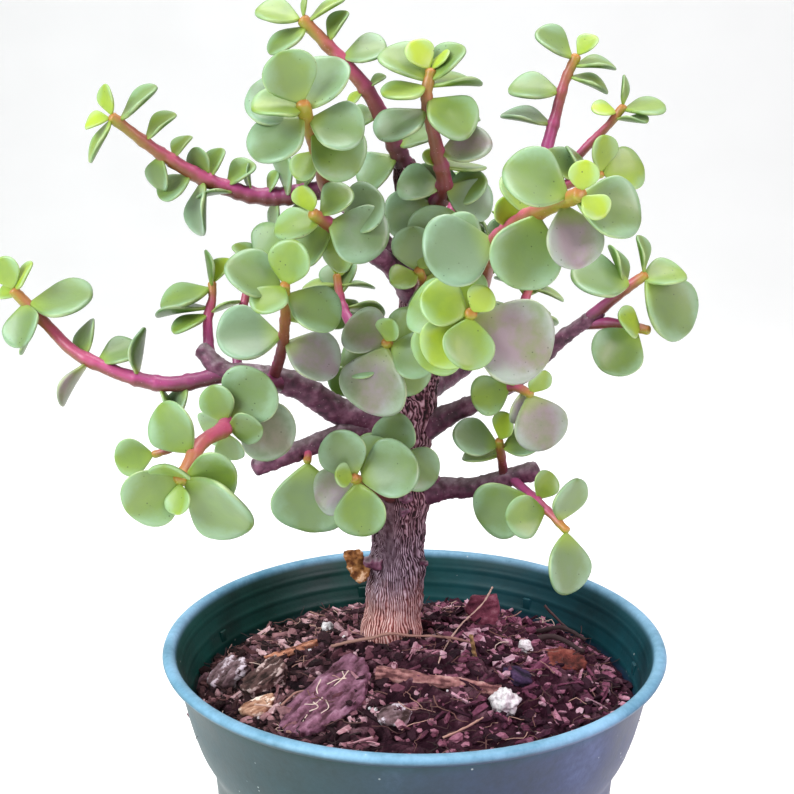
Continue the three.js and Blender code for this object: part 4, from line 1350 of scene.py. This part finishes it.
# %% [markdown]
# ## The soil
#
# The pot is filled with a coarse mix of bark, peat and grit, heaped up towards the trunk. The body of
# the soil is made like the pot, ring by ring: up along the inside of the wall, and then in over the
# mound to the middle. Its top is weathered into lumps, and crumbs and fibres are strewn over it next.

# %% Body of the soil
GAP = 0.3
SOIL_EDGE = 91
SOIL_EDGE_RADIUS = 67
SOIL_CROWN = 107
SOIL_CROWN_RADIUS = 15
SOIL_SIDES = 180


def soil_level(x, y):
    """The smooth height of the mound, in mm."""
    out = min(max(math.hypot(x, y), SOIL_CROWN_RADIUS), SOIL_EDGE_RADIUS)
    return float(np.interp(out, (SOIL_CROWN_RADIUS, SOIL_EDGE_RADIUS), (SOIL_CROWN, SOIL_EDGE)))


soil_rows = [(BASE_RADIUS - WALL - 2 * GAP, POT_FLOOR + GAP)]
soil_rows += [(soft_collar(z) - WALL - 2 * GAP, z) for z in np.linspace(62, SOIL_EDGE, 8)]
soil_rows += [(r, soil_level(r, 0)) for r in np.linspace(SOIL_EDGE_RADIUS, 1.0, 74)]
soil = thrown("potting_mix_mound", soil_rows, SOIL_SIDES)


def lump_height(point):
    """Lumps and pits on the mound. Below the top the soil stays smooth, against the wall."""
    if point.z < SOIL_EDGE - 1 or math.hypot(point.x, point.y) > SOIL_EDGE_RADIUS + 1:
        return 0.0
    big = noise.noise(point * 0.09) * 1.3
    lumps = noise.noise(point * 0.28 + Vector((9, 0, 0))) * 1.4
    grit = abs(noise.noise(point * 0.75)) * 0.9 + noise.noise(point * 1.6) * 0.35
    return big + lumps + grit


weather(soil, lump_height, 1.5)
mix_skin = Finish("potting_mix", Roughness=0.95, Specular_IOR_Level=0.2)
soil_relief = mix_skin.kept("relief")
crumble = mix_skin.cloud(420, 6, 0.75)
east = mix_skin.parts(mix_skin.place())[0]
mix_colour = mix_skin.ramp(crumble * 0.7 + soil_relief * 0.22 + 0.1, (0.3, "#080305"), (0.45, "#1c0e13"),
                           (0.6, "#4a2c35"), (0.8, "#8f6872"))
# The right half is tinted plum: a painted tint of the lilac light from the right.
mix_skin.give("Base Color", mix_skin.mix(east.step(-0.05, 0.045) * 0.6, mix_colour, "#4a1d33"))
mix_skin.bump(mix_skin.cloud(900, 6, 0.8), 0.9, 1.0)
ready(soil, mix_skin, "potting_mix", "soil")
soil_tree = tree_of(soil)


# %% [markdown]
# ## What is strewn on the soil
#
# Up close the soil is a litter of small things: crumbs of bark, flat slivers, white grains of perlite
# and hair-thin roots. A handful of each is modelled, and copies are strewn over the mound, each with
# its own size, turn and shade. One kind of litter is one piece.

# %% Ways to strew
CLEAR_OF_TRUNK = 11


def on_soil(x, y):
    """The point on the weathered soil under x, y in mm, or None beyond its edge."""
    place, *_ = soil_tree.ray_cast(Vector((x, y, 130)) * MM, Vector((0, 0, -1)))
    return place / MM if place else None


def pattern_from(piece):
    """Takes the points and faces of a piece, scaled to be used as a pattern, and removes it."""
    points = points_of(piece.data)
    faces = [tuple(face.vertices) for face in piece.data.polygons]
    bpy.data.objects.remove(piece)
    return points, faces


def strewn(name, patterns, rows):
    """One piece made of many copies. A row is a pattern's number, its matrix in mm and its shade."""
    points, faces, shades, start = [], [], [], 0
    for which, matrix, shade_of_copy in rows:
        shape, shape_faces = patterns[which]
        turned = np.c_[shape, np.ones(len(shape))] @ np.array(matrix).T
        points.append(turned[:, :3] * MM)
        faces += [tuple(corner + start for corner in face) for face in shape_faces]
        shades += [shade_of_copy] * len(shape)
        start += len(shape)
    mesh = bpy.data.meshes.new(name)
    mesh.from_pydata(np.concatenate(points).tolist(), [], faces)
    keep(mesh, "shade", shades)
    piece = bpy.data.objects.new(name, mesh)
    bpy.context.scene.collection.objects.link(piece)
    return piece


def scattered(rng, count, reach, lift, sizes, flat_turn=0.5):
    """Places for count copies within reach of the axis, away from the trunk: matrices in mm."""
    rows = []
    while len(rows) < count:
        angle, out = rng.uniform(0, 2 * math.pi), reach * math.sqrt(rng.random())
        x, y = out * math.cos(angle), out * math.sin(angle)
        if math.hypot(x - TRUNK_FOOT[0], y - TRUNK_FOOT[1]) < CLEAR_OF_TRUNK:
            continue
        ground = on_soil(x, y)
        if ground is None:
            continue
        size = sizes(rng)
        turn = Matrix.Rotation(rng.uniform(0, 2 * math.pi), 4, "Z")
        tip = (Matrix.Rotation(rng.gauss(0, flat_turn), 4, "X")
               @ Matrix.Rotation(rng.gauss(0, flat_turn), 4, "Y"))
        scale = Matrix.Diagonal((*size, 1))
        rows.append(Matrix.Translation(ground + Vector((0, 0, lift))) @ turn @ tip @ scale)
    return rows


# %% Crumbs, slivers and grains
def broken(seed, sides, squash, rough):
    """A broken lump about 1 across: a low ball with its points knocked about."""
    bpy.ops.object.select_all(action="DESELECT")
    bpy.ops.mesh.primitive_ico_sphere_add(subdivisions=sides, radius=0.5)
    lump = bpy.context.object
    bpy.ops.object.mode_set(mode="EDIT")
    bpy.ops.mesh.select_all(action="SELECT")
    bpy.ops.transform.vertex_random(offset=rough, uniform=0.3, normal=0.5, seed=seed)
    bpy.ops.transform.resize(value=squash)
    done(lump)
    return pattern_from(lump)


def splinter(seed):
    """A flat splinter 1 long: a block with its ends narrowed and its points knocked about."""
    bpy.ops.object.select_all(action="DESELECT")
    bpy.ops.mesh.primitive_cube_add(size=1, scale=(1, 0.22, 0.08))
    piece = bpy.context.object
    bpy.ops.object.transform_apply(location=False, rotation=False, scale=True)
    bpy.ops.object.mode_set(mode="EDIT")
    bpy.ops.mesh.select_all(action="SELECT")
    bpy.ops.mesh.subdivide(number_cuts=1)
    bpy.ops.transform.vertex_random(offset=0.07, uniform=0.2, normal=0.2, seed=seed)
    done(piece)
    return pattern_from(piece)


litter_rng = random.Random(11)
crumb_patterns = [broken(seed, 1, (1, 0.75, 0.5), 0.10) for seed in range(5)]
splinter_patterns = [splinter(seed) for seed in range(6)]
grain_patterns = [broken(20 + seed, 1, (1, 0.9, 0.8), 0.07) for seed in range(4)]


def crumb_size(rng):
    size = 1.0 + 5.2 * rng.random() ** 2.6
    return size * rng.uniform(0.8, 1.3), size, size * rng.uniform(0.6, 1.1)


def splinter_size(rng):
    length = rng.uniform(2.5, 9)
    return length, rng.uniform(2.5, 8), rng.uniform(5, 12)


crumb_rows = [(litter_rng.randrange(5), place, litter_rng.random())
              for place in scattered(litter_rng, 2100, 66, 0.3, crumb_size)]
splinter_rows = [(litter_rng.randrange(6), place, litter_rng.random())
                 for place in scattered(litter_rng, 520, 65, 0.5, splinter_size, 0.35)]
grain_rows = [(litter_rng.randrange(4), place, litter_rng.random())
              for place in scattered(litter_rng, 60, 65, 0.3,
                                     lambda rng: (rng.uniform(0.5, 1.5),) * 3)]

crumb_skin = Finish("bark_crumbs", Roughness=0.9, Specular_IOR_Level=0.25)
crumb_shade = crumb_skin.kept("shade")
crumb_noise = crumb_skin.cloud(700, 4)
crumb_tone = crumb_shade * 0.8 + crumb_noise * 0.35 - 0.07
brown_crumb = crumb_skin.ramp(crumb_tone, (0.0, "#0b0505"), (0.38, "#2c181a"), (0.6, "#694648"),
                              (0.8, "#a87b7e"), (1.0, "#e2bfc3"))
# Crumbs on the right are painted plum: a painted tint of the lilac light from the right.
painted_lilac_light_crumb = crumb_skin.ramp(crumb_tone, (0.0, "#12040b"), (0.38, "#3b182a"), (0.6, "#7a3f58"),
                             (0.8, "#b5788d"), (1.0, "#e8c5d2"))
crumb_east = crumb_skin.parts(crumb_skin.place())[0]
crumb_skin.give("Base Color", crumb_skin.mix(crumb_east.step(-0.055, 0.035), brown_crumb, painted_lilac_light_crumb))
crumb_skin.bump(crumb_skin.cloud(1600, 4), 0.4, 0.9)
ready(strewn("bark_crumbs", crumb_patterns, crumb_rows), crumb_skin, "potting_mix")
ready(strewn("bark_splinters", splinter_patterns, splinter_rows), crumb_skin, "potting_mix")

perlite_skin = Finish("white_perlite", Roughness=0.8)
perlite_skin.give("Base Color", perlite_skin.ramp(perlite_skin.cloud(900, 4), (0.3, "#b9a6ad"),
                                                  (0.5, "#e6dcdf"), (0.7, "#f8f2f4")))
perlite_skin.bump(perlite_skin.cloud(1400, 4), 0.5, 0.9)
ready(strewn("perlite_specks", grain_patterns, grain_rows), perlite_skin, "perlite")


# %% [markdown]
# Fine roots curl over everything. Each pattern is a thin tube along a wandering line. A copy is turned
# and stretched, so the same few shapes don't look alike.

# %% Fine roots
def root_pattern(seed, thickness):
    """A thin root 1 long that wanders from side to side and a little up and down."""
    wander = random.Random(seed)
    points = [(i / 5 - 0.5, wander.uniform(-0.14, 0.14), wander.uniform(-0.03, 0.08)) for i in range(6)]
    piece = tube("root", Line([[c * 1000 for c in point] for point in points]),
                 lambda share: thickness * 1000 * (1 - 0.5 * share), 140, 0)
    return pattern_from(piece)


root_patterns = [root_pattern(seed, 0.016) for seed in range(10)]
root_rows = []
for place in scattered(litter_rng, 620, 65, 1.0, lambda rng: (rng.uniform(4, 13),) * 3, 0.28):
    root_rows.append((litter_rng.randrange(10), place, litter_rng.random()))
root_skin = Finish("fine_roots", Roughness=0.8)
root_skin.give("Base Color", root_skin.ramp(root_skin.kept("shade"), (0.0, "#1d0f10"), (0.5, "#43272a"),
                                            (0.8, "#80564e"), (0.93, "#bd9183"), (1.0, "#e2cabd")))
root_skin.bump(root_skin.cloud(2000, 2), 0.1, 0.5)
ready(strewn("fine_roots", root_patterns, root_rows), root_skin, "potting_mix")


# %% [markdown]
# A few threads are long enough to be noticed one by one: a pale fibre that leans from a chip down to
# the front, a thin root that lies across the foot of the trunk, and some dark twigs at the back.

# %% Long threads
THREADS = {
    "pale_fibre": ([[26, 32, 112], [22, 18, 112], [14, 4, 110], [8, -12, 107.5], [6, -23, 105]], 0.28, 0.95),
    "foot_root": ([[-25, -3, 106.5], [-19, -5, 109], [-13, -6, 110.6], [-7, -6.2, 112.2], [-1, -5, 111],
                   [6, -4, 110.4], [12, -3, 109.4], [18, -1, 107]], 0.55, 0.86),
    "dark_twig": ([[40, 30, 97], [49, 27, 100], [56, 22, 98]], 0.9, 0.2),
    "thin_twig": ([[44, 36, 104], [50, 30, 99.5], [55, 25, 97]], 0.45, 0.5),
    "plum_twig": ([[38, 16, 100.5], [45, 17, 101.2], [54, 13, 98]], 1.1, 0.25),
    "short_root": ([[-38, -28, 99.5], [-34, -24, 101.5], [-30, -23, 101.8]], 0.35, 0.85),
    "front_root": ([[8, -46, 99.5], [14, -43, 100.8], [19, -38, 101.2]], 0.35, 0.9),
    "left_root": ([[-46, -25, 98.2], [-40, -27, 98.4], [-34, -31, 98]], 0.3, 0.95),
}
thread_pieces = []
for name, (points, size, shade_of_thread) in THREADS.items():
    thread = tube(name, Line(points), lambda share, size=size: size * (1 - 0.35 * share), 1.0, 2,
                  round_tip=0.4)
    weather(thread, lambda p: noise.noise(p * 0.8), 0.25)
    keep(thread.data, "shade", [shade_of_thread] * len(thread.data.vertices))
    thread_pieces.append(thread)
ready(joined("long_threads", thread_pieces), root_skin, "potting_mix")


# %% [markdown]
# ## Named chips, sticks and grains
#
# The larger pieces of litter were drawn one by one. Each is a block cut to the chip's outline, rounded
# and weathered in layers, like bark that has split along its grain.

# %% Chips
CHIPS = {
    "bark_slab": {"at": [-24, -27], "lift": 1.4, "size": [37, 19, 2.6], "turn": [16, -12, 50]},
    "bark_chip_left": {"at": [-57, -1], "lift": 1.6, "size": [17, 12, 5], "turn": [6, -16, 70]},
    "bark_chip_pair": {"at": [-44, -11], "lift": 1.8, "size": [18, 11, 5], "turn": [8, -16, 50]},
    "bark_chip_pale": {"at": [-45, -24], "lift": 1.2, "size": [12, 8, 2], "turn": [8, -12, 20]},
    "bark_chip_red": {"at": [47, 4], "lift": 1.9, "size": [15, 11, 2.2], "turn": [14, 14, 25]},
    "bark_chip_upright": {"at": [23, 26], "lift": 5, "size": [12, 13, 2.4], "turn": [74, 8, 12]},
    "bark_chip_dark": {"at": [31, -15], "lift": 1.8, "size": [9, 7, 2.4], "turn": [8, 14, -30]},
    "bark_chip_front": {"at": [-5, -37], "lift": 1.2, "size": [11, 8, 2.4], "turn": [16, 2, 20]},
}
CHIP_CORNERS = 9


def turned(turn):
    """A turn about X, then Y, then Z of the turned axes, in degrees."""
    x, y, z = (math.radians(angle) for angle in turn)
    return Matrix.Rotation(x, 4, "X") @ Matrix.Rotation(y, 4, "Y") @ Matrix.Rotation(z, 4, "Z")


def chip(name, at, lift, size, turn, height=None, fine=0.8):
    """A broken plate: an uneven outline, filled, made thick, cut up finely and laid in its place."""
    outline = []
    for i in range(CHIP_CORNERS):
        angle = i / CHIP_CORNERS * 2 * math.pi
        uneven = 1 + 0.12 * math.sin(2.3 * i + size[0]) - 0.06 * math.cos(3.1 * i)
        outline.append(Vector((math.cos(angle) * size[0] / 2, math.sin(angle) * size[1] / 2, 0)) * uneven)
    bpy.ops.object.select_all(action="DESELECT")
    bpy.ops.mesh.primitive_circle_add(vertices=CHIP_CORNERS, radius=1, fill_type="NOTHING")
    plate = bpy.context.object
    plate.name = name
    for vertex, place in zip(plate.data.vertices, outline):
        vertex.co = (place - Vector((0, 0, size[2] / 2))) * MM
    bpy.ops.object.mode_set(mode="EDIT")
    bpy.ops.mesh.select_all(action="SELECT")
    bpy.ops.mesh.edge_face_add()
    bpy.ops.mesh.extrude_region_move(TRANSFORM_OT_translate={"value": (0, 0, size[2] * MM)})
    bpy.ops.mesh.select_all(action="SELECT")
    bpy.ops.mesh.normals_make_consistent(inside=False)
    done(plate)
    grid = plate.modifiers.new("fine", "REMESH")
    grid.mode = "VOXEL"
    grid.voxel_size = min(fine, size[2] / 3.2) * MM
    grid.use_smooth_shade = True
    apply_modifiers(plate)
    centre = Vector((*at, height if height else soil_level(*at) + lift)) * MM
    plate.data.transform(Matrix.Translation(centre) @ turned(turn))
    return plate


def layered(matrix):
    """Bark that splits into sheets: strong steps through its thickness, faint ones along its grain."""
    back = matrix.inverted()

    def height(point):
        own = back @ point
        sheets = noise.noise(stretched(own, 0.16, 0.5, 1.6))
        grain = noise.noise(stretched(own, 0.3, 1.4, 0.6) + Vector((4, 0, 0)))
        return sheets * 0.7 + grain * 0.5 + noise.noise(own * 2.2) * 0.2

    return height


def chip_finish(name, dark, middle, light, crust=None):
    finish = Finish(name, Roughness=0.85, Specular_IOR_Level=0.3)
    high = finish.kept("relief")
    grain = finish.cloud(500, 5, 0.7)
    colour = finish.ramp(grain * 0.7 + high * 0.4, (0.2, dark), (0.45, middle), (0.75, light))
    if crust:
        pale = (finish.cloud(240, 5, 0.7) + high * 0.25).step(0.56, 0.66)
        colour = finish.mix(pale, colour, crust)
    finish.give("Base Color", colour)
    finish.bump(finish.cloud(1300, 5, 0.7), 0.4, 0.9)
    return finish


plum_chip = chip_finish("plum_bark_chip", "#4a2733", "#8a5a70", "#bf95aa")
rose_chip = chip_finish("rose_bark_chip", "#4f2030", "#8a4658", "#bd8290")
lilac_chip = chip_finish("lilac_bark_chip", "#33201f", "#7a6065", "#b5a0aa", "#d8c8d2")
umber_chip = chip_finish("umber_bark_chip", "#24130f", "#5f4340", "#9c7b74", "#c0a6a2")
peach_chip = chip_finish("peach_bark_chip", "#8a5c47", "#c99a80", "#f0cfb8", "#f8e2d2")
red_chip = chip_finish("red_bark_chip", "#3a1512", "#7d3a32", "#ab6c5c")
violet_chip = chip_finish("violet_bark_chip", "#1d1226", "#3f2a4a", "#65496c")
CHIP_FINISHES = {
    "bark_slab": plum_chip, "bark_chip_left": lilac_chip, "bark_chip_pair": umber_chip,
    "bark_chip_pale": peach_chip, "bark_chip_red": red_chip, "bark_chip_upright": rose_chip,
    "bark_chip_dark": violet_chip, "bark_chip_front": lilac_chip,
}
CHIP_NAMES = {
    "bark_slab": "plum_slab", "bark_chip_left": "lilac_chip", "bark_chip_pair": "umber_chip",
    "bark_chip_pale": "peach_chip", "bark_chip_red": "red_chip", "bark_chip_upright": "upright_chip",
    "bark_chip_dark": "violet_chip", "bark_chip_front": "front_chip",
}
for name, one in CHIPS.items():
    piece = chip(CHIP_NAMES[name], **one)
    lying = Matrix.Translation(Vector((*one["at"], 100))) @ turned(one["turn"])
    weather(piece, layered(lying), min(1.1, one["size"][2] * 0.32))
    ready(piece, CHIP_FINISHES[name], "bark_chip", name)

# %% [markdown]
# White rootlets have grown over the plum slab. They are thin tubes laid on its upper face.

# %% Rootlets on the slab
slab_tree = tree_of(bpy.data.objects["plum_slab"])
ROOTLETS = [
    [[-19, -20], [-21, -23], [-23, -25]], [[-19.5, -23], [-22, -22.5], [-25, -24]],
    [[-27, -22], [-28, -25], [-27.5, -27]], [[-26, -29], [-28, -31], [-31, -30.5]],
    [[-25, -30], [-24, -33], [-26, -35]], [[-30, -34], [-31, -36.5]], [[-21, -19], [-20, -22.5]],
    [[-28.5, -30], [-27, -32.5], [-29.5, -33]],
]
rootlets = []
for number, trail in enumerate(ROOTLETS):
    points = []
    for x, y in trail:
        place, *_ = slab_tree.ray_cast(Vector((x, y, 130)) * MM, Vector((0, 0, -1)))
        if place:
            points.append([*(place / MM + Vector((0, 0, 0.12)))])
    if len(points) > 1:
        rootlet = tube(f"rootlet_{number}", Line(points), lambda share: 0.22 * (1 - 0.4 * share), 0.7, 1)
        weather(rootlet, lambda p: noise.noise(p * 1.1), 0.12)
        keep(rootlet.data, "shade", [1.0] * len(rootlet.data.vertices))
        rootlets.append(rootlet)
ready(joined("slab_rootlets", rootlets), root_skin, "bark_chip")


# %% Sticks
STICKS = {
    "long_stick": {"ends": [[-11, -21], [25, -25]], "lifts": [2.0, 2.2], "radius": 2.1},
    "orange_stick": {"ends": [[-46, 2], [-30, 5]], "lifts": [1.6, 1.8], "radius": 1.6},
    "leaning_twig": {"ends": [[19, -12], [17, -10]], "lifts": [-2, 8], "radius": 0.7},
}
STICK_NAMES = {"long_stick": "pink_brown_stick", "orange_stick": "salmon_stick", "leaning_twig": "straw_twig"}


def split_wood(along):
    """Wood that has split along its length."""
    side = Vector((-along.y, along.x, 0)).normalized()

    def height(point):
        own = Vector((point.dot(along) * 0.16, point.dot(side) * 1.1, point.z * 1.1))
        return noise.noise(own) + 0.5 * noise.noise(own * 2.3) + 0.3 * noise.noise(point * 0.8)

    return height


pink_wood = chip_finish("pink_brown_wood", "#5a3335", "#a8726f", "#dcb0a9")
salmon_wood = chip_finish("salmon_wood", "#6a3a2a", "#b8795f", "#dba68c")
straw_wood = chip_finish("straw_wood", "#5e4226", "#94704a", "#bf9c72")
for (name, one), finish in zip(STICKS.items(), (pink_wood, salmon_wood, straw_wood)):
    ends = [[*end, soil_level(*end) + lift] for end, lift in zip(one["ends"], one["lifts"])]
    line = Line(ends)
    along = (Vector(ends[1]) - Vector(ends[0])).normalized()
    piece = tube(STICK_NAMES[name], line, lambda share, r=one["radius"]: r * (1 - 0.2 * share), 0.45, 10)
    weather(piece, split_wood(along), one["radius"] * 0.32)
    ready(piece, finish, "dry_wood", name)

# %% Large grains
GRAINS = {
    "perlite_front": {"at": [26, -29], "lift": 1.8, "radius": 4},
    "perlite_right": {"at": [35, 7], "lift": 1.2, "radius": 2.6},
    "perlite_left": {"at": [-28, 22], "lift": 0.9, "radius": 2},
}


def popped(point):
    """The swollen, pitted surface of a grain of perlite."""
    swollen = noise.noise(point * 0.35) + 0.5 * noise.noise(point * 0.9)
    return swollen - 0.25 * abs(noise.noise(point * 1.8))


for name, one in GRAINS.items():
    bpy.ops.object.select_all(action="DESELECT")
    centre = Vector((*one["at"], soil_level(*one["at"]) + one["lift"])) * MM
    bpy.ops.mesh.primitive_ico_sphere_add(subdivisions=5, radius=one["radius"] * MM, location=centre)
    grain = bpy.context.object
    grain.name = "white_grain_" + name.split("_")[1]
    bpy.ops.object.transform_apply(location=True, rotation=False, scale=False)
    bpy.ops.object.shade_smooth()
    weather(grain, popped, one["radius"] * 0.42)
    ready(grain, perlite_skin, "perlite", name)

# %% [markdown]
# ## Loose bark and knots on the trunk
#
# A flake of orange-brown bark curls off the trunk's left side, over the grey stub of an old twig. Small
# knots show where other twigs have dropped.

# %% Loose bark
BARK_FLAKE = {"at": [-17.4, 3], "lift": 0, "size": [7, 12, 1.1], "turn": [82, 0, 26], "height": 130.5}
flake = chip("curling_flake", fine=0.3, **BARK_FLAKE)
weather(flake, lambda p: noise.noise(p * 0.45) + 0.5 * noise.noise(p * 1.3), 0.5)
flake_wood = chip_finish("orange_bark", "#5c3216", "#a8703f", "#d49f70", "#e0b795")
ready(flake, flake_wood, "dry_wood", "bark_flake")

# %% Knots
KNOTS = {
    "stub_left": ([[-11, 2.5, 131], [-14.2, 0, 132.8]], 1.7),
    "knot_right": ([[1, 6, 131], [3.4, 4, 131.2]], 1.0),
    "knot_front_high": ([[-2.5, 4.5, 152], [-3, 1, 152.5]], 1.8),
    "knot_front_low": ([[-3, 4.5, 148.5], [-3.5, 1.6, 148]], 1.5),
    "knot_upper_right": ([[4, 6, 157], [6.4, 3.6, 158]], 1.6),
    "scar_left": ([[-10.5, 5, 158], [-12.5, 3.5, 159]], 1.6),
}
knots = []
for name, (points, size) in KNOTS.items():
    knot = tube(name, Line(points), lambda share, size=size: size * (1.15 - 0.35 * share), 0.35, 10,
                round_tip=0.7)
    weather(knot, lambda p: noise.noise(p * 0.9) + 0.6 * abs(noise.noise(p * 1.9)), 0.7)
    keep(knot.data, "share", [0.5] * len(knot.data.vertices))
    knots.append(knot)
ready(joined("trunk_knots", knots), limb_skin, "limb_bark")

# %% [markdown]
# ## The two boxes
#
# The finished pieces have to fill the same box as the plain solids. Both boxes are written down, so
# that they can be compared.

# %% Print the two boxes
shown_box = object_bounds()
print("pieces:", len(made), "triangles:", sum(made.values()))
for name, corners in (("frame", cad_box), ("shown", shown_box)):
    print(name, [[round(c / MM, 1) for c in corner] for corner in corners])
